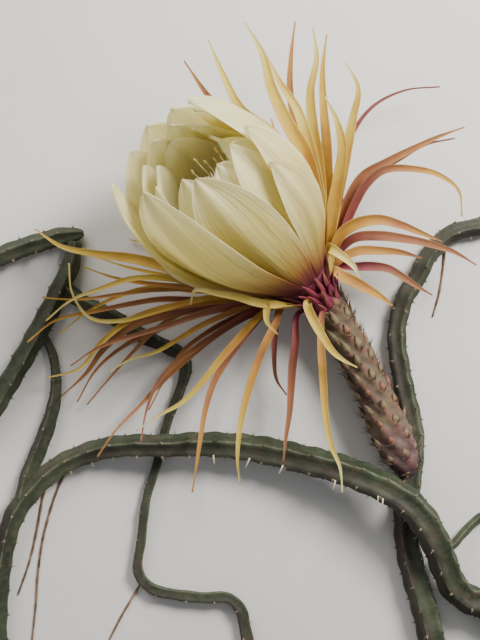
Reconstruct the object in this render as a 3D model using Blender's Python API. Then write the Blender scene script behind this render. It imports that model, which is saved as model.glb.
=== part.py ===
"""Orchid cactus, cut from the plant and laid down: ribbed climbing stems and one half-open night bloom.

The stems lie on the surface z = 0. The origin is on that surface, under the areole that bears the flower.
Z is up, and the numbers below are millimetres unless a name says otherwise.
"""

import math
import random

import bmesh
import bpy
from mathutils import Vector

MM = 0.001
SEAT_GAP = 0.3  # between a piece and what carries it
UP = Vector((0, 0, 1))

# Stems: each route is x, y, height of the centreline and radius to the rib crests.
RIB_VALLEY = 0.74  # radius between two ribs, as a share of the crest's
CREST_RISE = 0.05  # the crest swells at an areole, on every other ring, and dips between two
ROLL = math.radians(12)  # turns a rib of the main stem straight down over the origin
TWIST_PER_MM = math.radians(0.16)
TIP_LENGTH = 9.0

ROUTES = {
    "stem_main": [
        (27, -146, 6.6, 6.8), (20, -118, 6.6, 6.8), (14.5, -97, 6.6, 6.8), (10, -80, 6.6, 6.7),
        (6, -64, 6.5, 6.6), (1.5, -49, 6.4, 6.5), (-1.5, -35, 6.2, 6.4), (-2.2, -17, 5.6, 6.2),
        (0.2, 1, 4.7, 5.9), (1.0, 19, 4.7, 5.4), (-4, 43, 4.8, 5.0), (-7, 65, 4.5, 4.7),
        (-3.5, 82, 4.4, 4.6), (2.5, 92, 4.4, 4.6), (8, 103, 4.4, 4.6), (18, 113.5, 4.4, 4.6),
        (33, 117.5, 4.3, 4.5), (50, 120, 4.0, 4.2),
    ],
    "stem_arching": [
        (19, -106, 7.0, 5.4), (29, -105.5, 7.0, 6.0), (38, -100.5, 7.0, 6.4), (45, -90.5, 7.0, 6.6),
        (46.5, -79, 7.1, 6.8), (42.5, -69, 7.8, 7.0), (34, -63, 8.7, 7.1), (26, -59.5, 9.8, 7.2),
        (19.5, -53.5, 11.6, 7.3), (15, -44, 14.4, 7.3), (9.5, -31, 18.4, 7.3), (2, -18.5, 20.9, 7.4),
        (-9.5, -8.5, 20.7, 7.4), (-30, 0.5, 16.0, 7.4), (-54, 6.5, 10.5, 7.3), (-77, 11, 8.2, 6.9),
        (-99, 13, 9.2, 6.3), (-117, 12.5, 10.6, 5.8), (-134, 12.5, 8.8, 5.6), (-150, 10, 6.0, 5.5),
        (-168, 2.5, 5.2, 5.4), (-181, -9, 5.1, 5.3), (-190, -22, 5.0, 5.2), (-195, -40, 4.9, 5.1),
        (-197.5, -62, 4.8, 5.0), (-198, -84, 4.7, 4.9), (-196.5, -104, 4.6, 4.8),
    ],
    "stem_trailing": [
        (14, -107, 5.0, 3.4), (-3, -114, 3.4, 3.6), (-36, -116, 3.4, 3.6), (-62, -108, 3.3, 3.5),
        (-75, -93, 3.2, 3.4), (-79, -78, 3.1, 3.3), (-81.5, -67, 3.1, 3.3), (-88, -61, 3.1, 3.3),
        (-99, -61, 3.1, 3.3), (-113, -59.5, 3.0, 3.2), (-124.5, -56.5, 2.9, 3.1), (-131, -48, 2.8, 3.0),
        (-129.5, -34, 2.6, 2.8), (-127, -14, 2.4, 2.6), (-122, 3, 2.3, 2.5), (-117, 23, 2.3, 2.5),
        (-111, 38, 2.6, 2.8), (-108, 49, 3.0, 3.2), (-110, 55.5, 3.3, 3.5), (-116, 59, 3.5, 3.7),
        (-130, 65.5, 3.7, 3.9), (-144, 74.5, 3.8, 4.0), (-153, 78.5, 3.8, 4.0), (-161, 83.5, 3.9, 4.0),
        (-169, 89.5, 4.4, 3.6),
    ],
    "stem_left": [
        (-214, 95.5, 4.9, 5.1), (-197, 102.5, 4.8, 5.0), (-187, 106.5, 4.7, 4.9), (-179, 109, 4.6, 4.8),
        (-169, 112, 4.4, 4.6), (-157, 114, 3.4, 3.6),
    ],
    "branch_left": [
        (-161, 110, 4.6, 3.4), (-163, 99.5, 4.8, 4.6), (-167, 90, 4.9, 5.0), (-172, 79.5, 5.0, 5.2),
        (-178.5, 67.5, 5.1, 5.3), (-187, 52.5, 5.1, 5.3), (-196.5, 36.5, 5.1, 5.3), (-205, 22, 5.0, 5.2),
    ],
    "branch_low_left": [
        (-187, -14, 5.0, 3.4), (-183.5, -2, 4.0, 4.0), (-178.5, 10, 3.9, 4.1), (-174, 22, 3.7, 3.9),
        (-171, 34, 3.1, 3.3), (-170.5, 46, 2.5, 2.7), (-172.5, 57, 2.2, 2.4), (-177, 66, 3.2, 2.1),
    ],
    "side_shoot": [
        (11, -36, 15.0, 1.9), (18, -34.5, 11.5, 2.0), (24.5, -29.5, 6.5, 2.1), (30, -25, 3.4, 2.1),
        (36, -21.5, 2.0, 2.1), (47, -19.5, 1.8, 1.9),
    ],
}
# How each stem is made: ribs, step between rings, ends in a tip, has spines, its parents.
STEMS = {
    "stem_main": (5, 6.0, True, True, ()),
    "stem_arching": (5, 6.0, True, True, ("stem_main",)),
    "stem_left": (5, 6.0, True, True, ()),
    "branch_left": (5, 6.0, False, True, ("stem_left",)),
    "stem_trailing": (4, 7.0, False, False, ("stem_main", "branch_left")),
    "branch_low_left": (4, 6.0, False, False, ("stem_arching", "branch_left")),
    "side_shoot": (4, 5.0, True, False, ("stem_arching",)),
}

# Aerial roots: the stem each grows from, then x, y and height of the centreline from inside that stem.
ROOT_RADIUS = 0.6
AERIAL_ROOTS = {
    "aerial_root_outer": ("stem_arching", [
        (-173, -3, 3.0), (-176.5, -11, 0.8), (-180, -29, 0.6), (-183.5, -44, 0.6), (-189, -60, 0.6),
    ]),
    "aerial_root_inner": ("stem_arching", [
        (-165, 1, 3.0), (-169, -7, 0.8), (-173, -18, 0.6), (-177, -33, 0.6), (-179.5, -50, 0.6),
        (-180.5, -65, 0.6), (-182.5, -84, 0.6),
    ]),
    "aerial_root_low": ("stem_trailing", [
        (-128, -51, 2.0), (-133, -60, 0.7), (-140, -72, 0.6), (-148, -88, 0.6),
    ]),
    "aerial_root_right": ("stem_main", [(17, 111, 3.0), (16.5, 102, 0.7), (14.5, 87, 0.6), (11, 74, 0.6)]),
}

# Spines stand on the areoles, small and stiff.
SPINE_LENGTH = 2.6
SPINE_RADIUS = 0.45
SPINE_SINK = 0.7
SPINE_EVERY = 3  # one areole in this many along a rib
SPINE_LOWEST = 3.0  # none is nearer to the surface than this
BARE_JOINTS = [
    (-5, 9, 11), (-3, 25, 10), (13, -35, 14), (20, -106, 7), (-162, 108, 5), (-3, -14, 13),
    (-164, 88, 5), (-184, -5, 6),
]
BARE_RADIUS = 12.0

# Flower: its axis leaves the receptacle up and to the left, with its mouth lifted.
RECEPTACLE = Vector((-50.6, 89.5, 24.0))
AXIS_TURN = math.radians(135)
AXIS_LIFT = math.radians(30)
AXIS = Vector((
    math.cos(AXIS_LIFT) * math.cos(AXIS_TURN),
    math.cos(AXIS_LIFT) * math.sin(AXIS_TURN),
    math.sin(AXIS_LIFT),
))
# Turn 0 round the axis points to the upper right along the surface, 90 degrees points up from it.
SIDE = Vector((math.sin(AXIS_TURN), -math.cos(AXIS_TURN), 0))
FRONT = SIDE.cross(AXIS)

# Flower tube, from the areole to the collar: x, y, height and radius.
COLLAR_FOOT, COLLAR_TOP = -14.0, -2.0  # along the axis, from the receptacle
TUBE_END = RECEPTACLE + (COLLAR_FOOT - SEAT_GAP) * AXIS
FLOWER_TUBE = [
    (-1, 1, 8.0, 4.0), (-5, 7, 12.0, 7.6), (-9.5, 16, 13.6, 9.0), (-14, 27, 14.0, 8.6),
    (-19, 38, 14.2, 8.0), (-27.5, 56, 14.4, 7.8), (-35.5, 70, 14.8, 8.0),
    (TUBE_END.x, TUBE_END.y, TUBE_END.z, 8.6),
]
TUBE_SIDES = 12
TUBE_STEP = 6.0
SCALE_ROWS = 8
SCALES_PER_ROW = 5
SCALE_LENGTH = 7.0
SCALE_WIDTH = 2.6
SCALE_THICKNESS = 1.0

# Collar and the outer sepals. Each sepal is its half width, then x, y and height along it to its tip.
COLLAR_RADII = (8.8, 9.8)
SEPAL_DEPTH = 1.6  # from the face to the keel at the widest
SEPALS = [
    # upper right
    (3.0, [(-55, 127, 28), (-75, 154, 36), (-96, 172, 40), (-107, 188, 42)]),
    (3.4, [
        (-52, 121, 28), (-62, 142, 36), (-78, 159, 44), (-86, 170, 47), (-90, 182, 48), (-96, 196, 48),
    ]),
    (4.0, [
        (-46, 111, 29), (-49, 131, 38), (-54, 147, 47), (-64, 163, 54), (-70, 178, 57), (-74, 193, 58),
        (-80, 201, 58),
    ]),
    (3.6, [
        (-45, 114, 28), (-47, 131, 35), (-51, 148, 42), (-56, 164, 46), (-62, 173, 48), (-67, 182, 48),
        (-70, 189, 47),
    ]),
    (2.6, [
        (-46, 119, 24), (-49, 139, 28), (-55, 157, 32), (-59, 172, 34), (-59, 190, 34), (-57, 208, 33),
    ]),
    (3.2, [
        (-44, 116, 26), (-46, 136, 33), (-48, 151, 39), (-51, 168, 45), (-50, 179, 48), (-48, 191, 50),
        (-50, 201, 50),
    ]),
    (2.9, [
        (-42, 118, 22), (-42, 139, 27), (-43, 159, 32), (-45, 178, 36), (-44, 194, 38), (-43, 201, 38),
    ]),
    (3.4, [
        (-40, 116, 24), (-38, 132, 30), (-36, 147, 36), (-37, 157, 39), (-41, 166, 41), (-44, 172, 42),
    ]),
    (3.1, [
        (-39, 117, 20), (-36, 135, 24), (-33, 150, 28), (-31, 163, 31), (-28, 173, 33), (-30, 183, 34),
        (-34, 189, 34),
    ]),
    (1.3, [
        (-37, 122, 16), (-33, 145, 18), (-27, 165, 18), (-14, 176, 17), (-1, 181, 16), (12, 182, 15),
    ]),
    # right
    (2.5, [
        (-35, 118, 20), (-31, 130, 24), (-25, 139, 27), (-14, 145, 30), (-2, 151, 32), (9, 156, 33),
        (20, 160, 33),
    ]),
    (1.8, [
        (-34, 117, 17), (-29, 129, 20), (-21, 139, 23), (-8, 147, 25), (3, 153, 26), (17, 156, 26),
    ]),
    (2.2, [
        (-33, 116, 22), (-28, 128, 27), (-22, 137, 31), (-14, 141, 34), (-1, 140, 37), (11, 136, 38),
        (17, 129, 38), (18, 119, 37),
    ]),
    (3.0, [
        (-37, 109, 25), (-31, 115, 29), (-24, 118, 32), (-14, 117, 34), (-3, 113, 34), (10, 108, 33),
    ]),
    (2.6, [
        (-35, 106, 20), (-26, 111, 22), (-13, 111, 23), (4, 108, 23), (15, 105, 22), (28, 98, 20),
    ]),
    (2.6, [(-35, 102, 24), (-25, 104, 26), (-11, 104, 26), (2, 101, 24)]),
    (2.4, [(-38, 97, 20), (-29, 97, 21), (-16, 97, 22), (-7, 93, 20), (1, 88, 18), (8, 84, 17)]),
    (3.0, [(-41, 94, 27), (-34, 92, 28), (-26, 88, 27), (-17, 83, 25), (-11, 79, 22)]),
    (2.8, [(-47, 102, 36), (-42, 103, 40), (-36, 101, 42), (-31, 96, 42), (-28, 91, 41)]),
    # below
    (1.9, [
        (-63, 82, 22), (-75, 71, 22), (-83, 61, 21), (-90, 51, 20), (-96, 39, 21), (-99, 26, 24),
        (-101, 12, 27), (-104, -7, 26),
    ]),
    (2.1, [
        (-61, 80, 25), (-66, 70, 27), (-72, 58, 28), (-77, 44, 28), (-81, 29, 29), (-83, 15, 30),
        (-83, 5, 29), (-82, -3, 27),
    ]),
    (1.7, [(-63, 80, 18), (-65, 70, 17), (-66, 58, 16), (-65, 45, 14), (-60, 37, 13)]),
    (2.2, [
        (-55, 79, 23), (-56, 65, 24), (-58, 49, 24), (-59, 31, 24), (-61, 17, 25), (-62, 7, 25),
    ]),
    (2.0, [
        (-44, 81, 26), (-45, 63, 29), (-44, 45, 30), (-43, 29, 30), (-40, 14, 30), (-36, 4, 29),
        (-35, -7, 27),
    ]),
    (2.3, [
        (-52, 81, 36), (-49, 72, 40), (-45, 65, 41), (-41, 59, 40), (-35, 54, 38), (-29, 51, 36),
    ]),
    (2.6, [(-62, 86, 32), (-68, 85, 37), (-70, 79, 40), (-70, 72, 40), (-65, 66, 38)]),
    (2.1, [
        (-72, 82.5, 42), (-82, 83.5, 52), (-93, 85, 60), (-99.5, 85.5, 62), (-104, 83.5, 60),
        (-103.5, 79, 56),
    ]),
    # lower left
    (1.5, [
        (-72, 80, 20), (-86, 76, 19), (-98, 71, 18), (-110, 64, 17), (-120, 58, 16), (-131, 55, 15),
        (-144, 48, 14),
    ]),
    (1.9, [
        (-66, 80, 27), (-77, 70, 29), (-87, 59, 29), (-97, 47, 28), (-105, 37, 27), (-117, 30, 25),
        (-130, 21, 22),
    ]),
    (1.4, [
        (-70, 77, 15), (-89, 68, 13), (-108, 53, 11), (-125, 37, 10), (-136, 24, 13), (-146, 16, 16),
        (-149, 8, 16),
    ]),
    (1.7, [
        (-72, 78, 17), (-88, 69, 15), (-103, 59, 13), (-116, 49, 12), (-124, 37, 12), (-127, 25, 15),
        (-128, 16, 18),
    ]),
    (1.6, [
        (-75, 80, 12), (-101, 75, 11), (-125, 66, 9), (-142, 57, 7), (-152, 47, 6), (-160, 33, 5),
    ]),
    (2.6, [
        (-74, 82, 16), (-98, 79, 15), (-120, 74, 14), (-136, 68, 13), (-147, 58, 12), (-156, 46, 10),
        (-167, 36, 9),
    ]),
    (2.0, [
        (-72, 83, 19), (-96, 81, 19), (-117, 78, 18), (-136, 71, 17), (-148, 61, 15), (-157, 50, 13),
        (-174, 45, 11),
    ]),
    (1.5, [
        (-77, 84, 22), (-101, 82, 22), (-119, 77, 20), (-138, 72, 18), (-151, 73, 17), (-159, 79, 17),
        (-161, 90, 18), (-162, 99, 18),
    ]),
    (1.4, [
        (-80, 86, 17), (-105, 87, 17), (-129, 86, 16), (-148, 83, 15), (-162, 82, 14), (-175, 83, 13),
    ]),
    (1.6, [
        (-77, 85, 12), (-99, 86, 11), (-120, 88, 11), (-136, 85, 11), (-153, 77, 11), (-167, 66, 12),
    ]),
    (1.7, [
        (-80, 86, 24), (-100, 89, 25), (-119, 92, 25), (-135, 91, 24), (-149, 86, 22), (-164, 80, 19),
        (-173, 72, 17),
    ]),
    (1.5, [(-82, 88, 15), (-106, 91, 14), (-124, 95, 14), (-138, 98, 14), (-150, 102, 14)]),
    (3.0, [
        (-82, 88, 26), (-105, 93, 27), (-123, 99, 27), (-140, 102, 25), (-156, 104, 22),
        (-168, 108, 19), (-178, 115, 17),
    ]),
    (1.6, [
        (-75, 83, 14), (-98, 82, 13), (-122, 82, 13), (-143, 78, 13), (-162, 74, 13), (-174, 70, 13),
        (-182, 62, 13),
    ]),
    (1.4, [
        (-75, 82, 10), (-96, 80, 8), (-115, 73, 10), (-129, 61, 10), (-143, 46, 8), (-155, 32, 6),
    ]),
    (1.6, [(-82, 87, 19), (-108, 88, 19), (-129, 90, 18), (-144, 93, 17), (-155, 97, 16)]),
    (1.7, [
        (-74, 81, 24), (-94, 77, 25), (-112, 71, 25), (-128, 66, 24), (-145, 61, 22), (-161, 51, 19),
    ]),
    (1.4, [(-72, 79, 10), (-89, 71, 8), (-106, 61, 10), (-118, 44, 6), (-125, 30, 5)]),
    # under the cup
    (2.0, [(-61, 103, 9), (-77, 118, 5), (-96, 132, 3), (-116, 147, 2)]),
    (2.0, [(-63, 100, 9), (-84, 111, 5), (-106, 119, 3), (-125, 128, 2)]),
    (2.0, [(-56, 106, 9), (-68, 127, 5), (-80, 147, 3), (-88, 165, 2)]),
    (2.0, [(-53, 107, 10), (-57, 130, 6), (-62, 151, 4), (-67, 169, 3)]),
    (2.0, [(-65, 96, 9), (-89, 100, 5), (-111, 105, 3), (-135, 111, 2)]),
]

# Inner petals, in whorls from the outside in. Angles are degrees.
PETAL_THICKNESS = 0.75
PETAL_STATIONS, PETAL_ACROSS = 7, 4
INNER_STATIONS, INNER_ACROSS = 6, 3
PETAL_FOOT_RADII = (8.2, 6.9, 5.6)  # of each whorl
PETAL_BASE = [(-1.7, 9.4), (6.0, 14.0)]  # distance along the axis and radius of what carries them
# Lean away from the axis at a petal's foot: its mean, and how much it changes around the cup.
START_LEAN, LOPSIDED = 32.5, 2.5
UPRIGHT_TURN = 8  # where the cup leans out least
END_LEAN = -34
CUP_LENGTH = 110.0
CUP_STATIONS = 56
OUTER_PETALS = [
    # turn, length, half width, lean at the tip
    (104, 96, 16.5, -28), (143, 106, 21.0, -27), (191, 110, 18.5, -28), (233, 108, 18.0, -35),
    (264, 109, 18.5, -34), (297, 109, 18.5, -39), (335, 107, 17.0, -45), (9, 116, 19.5, -48),
    (54, 92, 17.5, -30),
]
# turn, length and half width of the short ones that lie on the cup
FLANK_PETALS = [(56, 78, 9.5), (38, 70, 6.0), (45, 94, 9.5), (196, 73, 9.0)]
FLANK_LIFT, FLANK_RISE = 1.6, 15.0  # off the cup, reached after this length
FLANK_STATIONS, FLANK_ACROSS = 6, 2
INNER_GIRTHS = (0.88, 0.76)  # of each inner whorl, as a share of the cup
INNER_WHORLS = [
    # turn, length, half width, lean at the tip
    [
        (77, 90, 15.5, -34), (121, 97, 16.0, -38), (166, 99, 16.0, -40), (214, 104, 16.0, -42),
        (252, 106, 16.0, -42), (284, 106, 16.0, -44), (320, 101, 15.5, -46), (31, 93, 14.5, -42),
    ],
    [
        (62, 86, 14.5, -34), (134, 95, 16.0, -46), (208, 102, 16.5, -48), (270, 102, 16.5, -48),
        (348, 93, 15.0, -42),
    ],
]
PINWHEEL_TILT = 2.0  # one edge of each petal lies over the next

# Stamens and pistil.
STAMEN_COUNT = 21
STAMEN_RADIUS = 0.42
STAMEN_RING = (2.6, 7.4)  # inner and outer radius of the ring that carries them
STAMEN_RING_DEPTH = 1.4
ANTHER_LENGTH = 3.4
STYLE_RADIUS = 1.3
STYLE_LENGTH = 62.0
STIGMA_LOBES = 9
STIGMA_REACH = 7.0

COLOURS = {
    "stem_green": ((0.085, 0.125, 0.055), 0.55),
    "root_brown": ((0.20, 0.12, 0.07), 0.8),
    "tube_brown": ((0.24, 0.17, 0.09), 0.75),
    "sepal_amber": ((0.62, 0.36, 0.11), 0.5),
    "petal_cream": ((0.86, 0.83, 0.66), 0.45),
    "stamen_yellow": ((0.85, 0.72, 0.30), 0.6),
    "pistil_cream": ((0.84, 0.80, 0.50), 0.5),
}


def clear_scene():
    for obj in list(bpy.data.objects):
        bpy.data.objects.remove(obj, do_unlink=True)


def material(name):
    found = bpy.data.materials.get(name)
    if found:
        return found
    made = bpy.data.materials.new(name)
    made.use_nodes = True
    colour, roughness = COLOURS[name]
    shader = made.node_tree.nodes["Principled BSDF"]
    shader.inputs["Base Color"].default_value = (*colour, 1)
    shader.inputs["Roughness"].default_value = roughness
    shader.inputs["Metallic"].default_value = 0
    made.diffuse_color = (*colour, 1)
    return made


def solid(name, points, faces, finish):
    """A mesh object in metres from points in millimetres."""
    mesh = bpy.data.meshes.new(name)
    mesh.from_pydata([Vector(p) * MM for p in points], [], faces)
    mesh.materials.append(material(finish))
    mesh.shade_smooth()
    mesh.set_sharp_from_angle(angle=math.radians(50))
    obj = bpy.data.objects.new(name, mesh)
    bpy.context.scene.collection.objects.link(obj)
    return obj


def apply_boolean(obj, operation, pieces, solver):
    """Joins the pieces to obj, or cuts them from it, and removes them."""
    group = bpy.data.collections.new(obj.name + "_pieces")
    bpy.context.scene.collection.children.link(group)
    for piece in pieces:
        group.objects.link(piece)
    boolean = obj.modifiers.new("join", "BOOLEAN")
    boolean.operation = operation
    boolean.operand_type = "COLLECTION"
    boolean.collection = group
    boolean.solver = solver
    bpy.context.view_layer.update()
    graph = bpy.context.evaluated_depsgraph_get()
    joined = bpy.data.meshes.new_from_object(obj.evaluated_get(graph))
    obj.modifiers.clear()
    obj.data = joined
    keep_largest_shell(joined)
    for piece in pieces:
        bpy.data.objects.remove(piece, do_unlink=True)
    bpy.data.collections.remove(group)
    return obj


def keep_largest_shell(mesh):
    """Fills the sealed pockets that a Boolean leaves, and drops its scraps."""
    shape = bmesh.new()
    shape.from_mesh(mesh)
    unseen = set(shape.verts)
    shells = []
    while unseen:
        shell, edge_of_search = set(), [unseen.pop()]
        while edge_of_search:
            vert = edge_of_search.pop()
            shell.add(vert)
            for edge in vert.link_edges:
                other = edge.other_vert(vert)
                if other in unseen:
                    unseen.remove(other)
                    edge_of_search.append(other)
        shells.append(shell)
    largest = max(shells, key=len)
    bmesh.ops.delete(shape, geom=[v for v in shape.verts if v not in largest], context="VERTS")
    shape.to_mesh(mesh)
    shape.free()


def smooth_route(points, step):
    """Points about step apart on a Catmull-Rom curve through the given ones, as lists of numbers."""
    rows = [list(p) for p in points]
    first = [2 * a - b for a, b in zip(rows[0], rows[1])]
    last = [2 * a - b for a, b in zip(rows[-1], rows[-2])]
    rows = [first, *rows, last]
    fine = []
    for before, start, end, after in zip(rows, rows[1:], rows[2:], rows[3:]):
        for k in range(12):
            u = k / 12
            fine.append([
                b + 0.5 * u * (c - a + (2 * a - 5 * b + 4 * c - d) * u + (3 * b - a - 3 * c + d) * u**2)
                for a, b, c, d in zip(before, start, end, after)
            ])
    fine.append(rows[-2])
    lengths = [0.0]
    for a, b in zip(fine, fine[1:]):
        lengths.append(lengths[-1] + math.dist(a[:3], b[:3]))
    count = max(2, round(lengths[-1] / step))
    route, at = [], 0
    for k in range(count + 1):
        wanted = lengths[-1] * k / count
        while at < len(fine) - 2 and lengths[at + 1] < wanted:
            at += 1
        share = (wanted - lengths[at]) / (lengths[at + 1] - lengths[at])
        route.append([a + (b - a) * share for a, b in zip(fine[at], fine[at + 1])])
    return route


def frames_along(centres, end_tangent=None):
    """(tangent, side, top) at each centre, with the side level."""
    frames = []
    for k in range(len(centres)):
        tangent = centres[min(k + 1, len(centres) - 1)] - centres[max(k - 1, 0)]
        if end_tangent is not None and k == len(centres) - 1:
            tangent = end_tangent
        tangent = tangent.normalized()
        side = tangent.cross(UP).normalized()
        frames.append((tangent, side, side.cross(tangent)))
    return frames


def skin(rings, flat_below=None):
    """Points and faces of a closed tube over rings of equally many points, each end closed by a fan."""
    points = [p.copy() for ring in rings for p in ring]
    sides = len(rings[0])
    faces = []
    for k in range(len(rings) - 1):
        for j in range(sides):
            a, b = k * sides + j, k * sides + (j + 1) % sides
            faces += [(a, b + sides, b), (a, a + sides, b + sides)]
    for first, turn in ((0, -1), ((len(rings) - 1) * sides, 1)):
        ring = points[first:first + sides]
        points.append(sum(ring, Vector()) / sides)
        for j in range(sides):
            face = (len(points) - 1, first + (j + 1) % sides, first + j)
            faces.append(face[::turn])
    if flat_below is not None:
        for p in points:
            p.z = max(p.z, flat_below)
    return points, faces


def stem_rings(route, ribs, tip, grow=0.0):
    """Rings of a ribbed stem over a route of x, y, z and radius."""
    centres = [Vector(row[:3]) for row in route]
    travelled = 0.0
    total = sum((b - a).length for a, b in zip(centres, centres[1:]))
    rings = []
    for k, (centre, (_, side, top)) in enumerate(zip(centres, frames_along(centres))):
        travelled += (centre - centres[k - 1]).length if k else 0.0
        radius = route[k][3]
        if tip:
            left = min(1.0, (total - travelled + 0.6) / TIP_LENGTH)
            radius *= math.sqrt(1 - (1 - left) ** 2)
        crest = 1 + CREST_RISE * (1 if k % 2 == 0 else -1)
        ring = []
        for j in range(2 * ribs):
            angle = ROLL + travelled * TWIST_PER_MM + math.pi * (j / ribs + 0.5)
            reach = radius * (crest if j % 2 == 0 else RIB_VALLEY) + grow
            ring.append(centre + reach * (math.cos(angle) * side + math.sin(angle) * top))
        rings.append(ring)
    return rings


def spines_of(name, route, rings):
    """Three-sided spines on the rib crests, one areole in SPINE_EVERY."""
    spines = []
    for k in range(2, len(rings) - 2, 2):
        centre = Vector(route[k][:3])
        for rib in range(len(rings[k]) // 2):
            crest = rings[k][2 * rib]
            outward = (crest - centre).normalized()
            tip = crest + SPINE_LENGTH * outward
            at_joint = any((tip - Vector(joint)).length < BARE_RADIUS for joint in BARE_JOINTS)
            if (k // 2 + rib) % SPINE_EVERY or at_joint or min(crest.z, tip.z) < SPINE_LOWEST:
                continue
            spines.append(cone(f"{name}_spine", crest - SPINE_SINK * outward, tip, SPINE_RADIUS, 3))
    return spines


def cone(name, foot, tip, radius, sides, finish="stem_green"):
    along = (tip - foot).normalized()
    across = along.orthogonal().normalized()
    over = along.cross(across)
    points = [foot + radius * (math.cos(a) * across + math.sin(a) * over)
              for a in (2 * math.pi * k / sides for k in range(sides))]
    faces = [tuple(reversed(range(sides)))] + [(k, (k + 1) % sides, sides) for k in range(sides)]
    return solid(name, points + [tip], faces, finish)


def cut_by_stems(obj, parents):
    """Cuts the stems that obj grows from out of it, with the seat gap."""
    cutters = []
    for parent in parents:
        ribs, step, tip = STEMS[parent][:3]
        rings = stem_rings(smooth_route(ROUTES[parent], step), ribs, tip, grow=SEAT_GAP)
        cutters.append(solid("cutter", *skin(rings), "stem_green"))
    if cutters:
        apply_boolean(obj, "DIFFERENCE", cutters, "MANIFOLD")


def make_stems():
    for name, (ribs, step, tip, has_spines, parents) in STEMS.items():
        route = smooth_route(ROUTES[name], step)
        rings = stem_rings(route, ribs, tip)
        on_flat = name == "stem_main"  # pared to a true flat, while the others only dip to the surface
        obj = solid(name, *skin(rings, flat_below=None if on_flat else 0.0), "stem_green")
        if on_flat:
            apply_boolean(obj, "DIFFERENCE", [below_surface()], "MANIFOLD")
        if has_spines:
            apply_boolean(obj, "UNION", spines_of(name, route, rings), "MANIFOLD")
        cut_by_stems(obj, parents)


def below_surface():
    low, high = Vector((-300, -300, -20)), Vector((300, 300, 0))
    points = [(x, y, z) for z in (low.z, high.z) for x, y in
              ((low.x, low.y), (high.x, low.y), (high.x, high.y), (low.x, high.y))]
    faces = [(3, 2, 1, 0), (4, 5, 6, 7), (0, 1, 5, 4), (1, 2, 6, 5), (2, 3, 7, 6), (3, 0, 4, 7)]
    return solid("below_surface", points, faces, "stem_green")


def round_rings(route, sides, end_tangent=None):
    centres = [Vector(row[:3]) for row in route]
    rings = []
    for row, centre, (_, side, top) in zip(route, centres, frames_along(centres, end_tangent)):
        rings.append([centre + row[3] * (math.cos(a) * side + math.sin(a) * top)
                      for a in (2 * math.pi * k / sides for k in range(sides))])
    return rings


def make_aerial_roots():
    for name, (parent, points) in AERIAL_ROOTS.items():
        route = smooth_route([(*p, ROOT_RADIUS) for p in points], 8.0)
        obj = solid(name, *skin(round_rings(route, 5), flat_below=0.0), "root_brown")
        cut_by_stems(obj, [parent])


def make_flower_tube():
    route = smooth_route(FLOWER_TUBE, TUBE_STEP)
    rings = round_rings(route, TUBE_SIDES, AXIS)
    tube = solid("flower_tube", *skin(rings), "tube_brown")
    scales = []
    first, last = 2, len(route) - 3
    for row in range(SCALE_ROWS):
        k = first + round((last - first) * row / (SCALE_ROWS - 1))
        centre = Vector(route[k][:3])
        tangent, side, top = frames_along([Vector(r[:3]) for r in route])[k]
        for j in range(SCALES_PER_ROW):
            angle = 2 * math.pi * (j + 0.38 * row) / SCALES_PER_ROW
            outward = math.cos(angle) * side + math.sin(angle) * top
            scales.append(scale(centre + route[k][3] * outward, tangent, outward))
    apply_boolean(tube, "UNION", scales, "MANIFOLD")
    cut_by_stems(tube, ["stem_main"])


def scale(foot, along, outward):
    """A pointed scale on the tube: it lies forward along it and lifts at the tip."""
    across = along.cross(outward).normalized()
    back = foot - 1.5 * outward - 1.0 * along
    tip = foot + SCALE_LENGTH * (0.82 * along + 0.42 * outward)
    middle = foot + 0.35 * SCALE_LENGTH * along + 0.9 * outward
    points = [
        back - SCALE_WIDTH * 0.5 * across, back + SCALE_WIDTH * 0.5 * across,
        middle + SCALE_WIDTH * 0.5 * across, middle - SCALE_WIDTH * 0.5 * across,
        middle - SCALE_THICKNESS * outward - 0.2 * across, tip,
    ]
    faces = [(0, 1, 3), (1, 2, 3), (1, 0, 4), (0, 3, 4), (2, 1, 4), (3, 2, 5), (4, 3, 5), (2, 4, 5)]
    return solid("scale", points, faces, "tube_brown")


def ring_of_axis(along, radius, sides, origin=RECEPTACLE):
    """Points round the flower's axis, in order so that a skin over rising rings faces out."""
    centre = origin + along * AXIS
    return [centre + radius * (math.cos(a) * SIDE + math.sin(a) * FRONT)
            for a in (2 * math.pi * k / sides for k in range(sides))]


def turned(name, profile, sides, finish):
    """A solid of revolution on the flower's axis, from (distance along, radius) pairs."""
    return solid(name, *skin([ring_of_axis(along, radius, sides) for along, radius in profile]), finish)


def blade(name, centres, sides, normals, half_widths, thickness, across, bend, finish):
    """A thin closed leaf. bend(k, q) is its rise at station k and share q across, from -1 to 1."""
    shares = [2 * j / across - 1 for j in range(across + 1)]
    top, bottom = [], []
    for k, (centre, side, normal) in enumerate(zip(centres, sides, normals)):
        for q in shares:
            p = centre + q * half_widths[k] * side + bend(k, q) * normal
            top.append(p + 0.5 * thickness * normal)
            bottom.append(p - 0.5 * thickness * normal)
    row, count = across + 1, len(top)
    faces = []
    for k in range(len(centres) - 1):
        for j in range(across):
            a, b, c, d = k * row + j, k * row + j + 1, (k + 1) * row + j + 1, (k + 1) * row + j
            faces += [(a, b, c), (a, c, d)]
            faces += [(count + a, count + c, count + b), (count + a, count + d, count + c)]
        for a, d, turn in ((k * row, (k + 1) * row, 1), (k * row + across, (k + 1) * row + across, -1)):
            faces += [(a, d, count + d)[::turn], (a, count + d, count + a)[::turn]]
    for first, turn in ((0, -1), ((len(centres) - 1) * row, 1)):
        for j in range(across):
            a, b = first + j, first + j + 1
            faces += [(a, b, count + b)[::turn], (a, count + b, count + a)[::turn]]
    return solid(name, top + bottom, faces, finish)


def start_lean(turn):
    return START_LEAN - LOPSIDED * math.cos(math.radians(turn - UPRIGHT_TURN))


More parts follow.
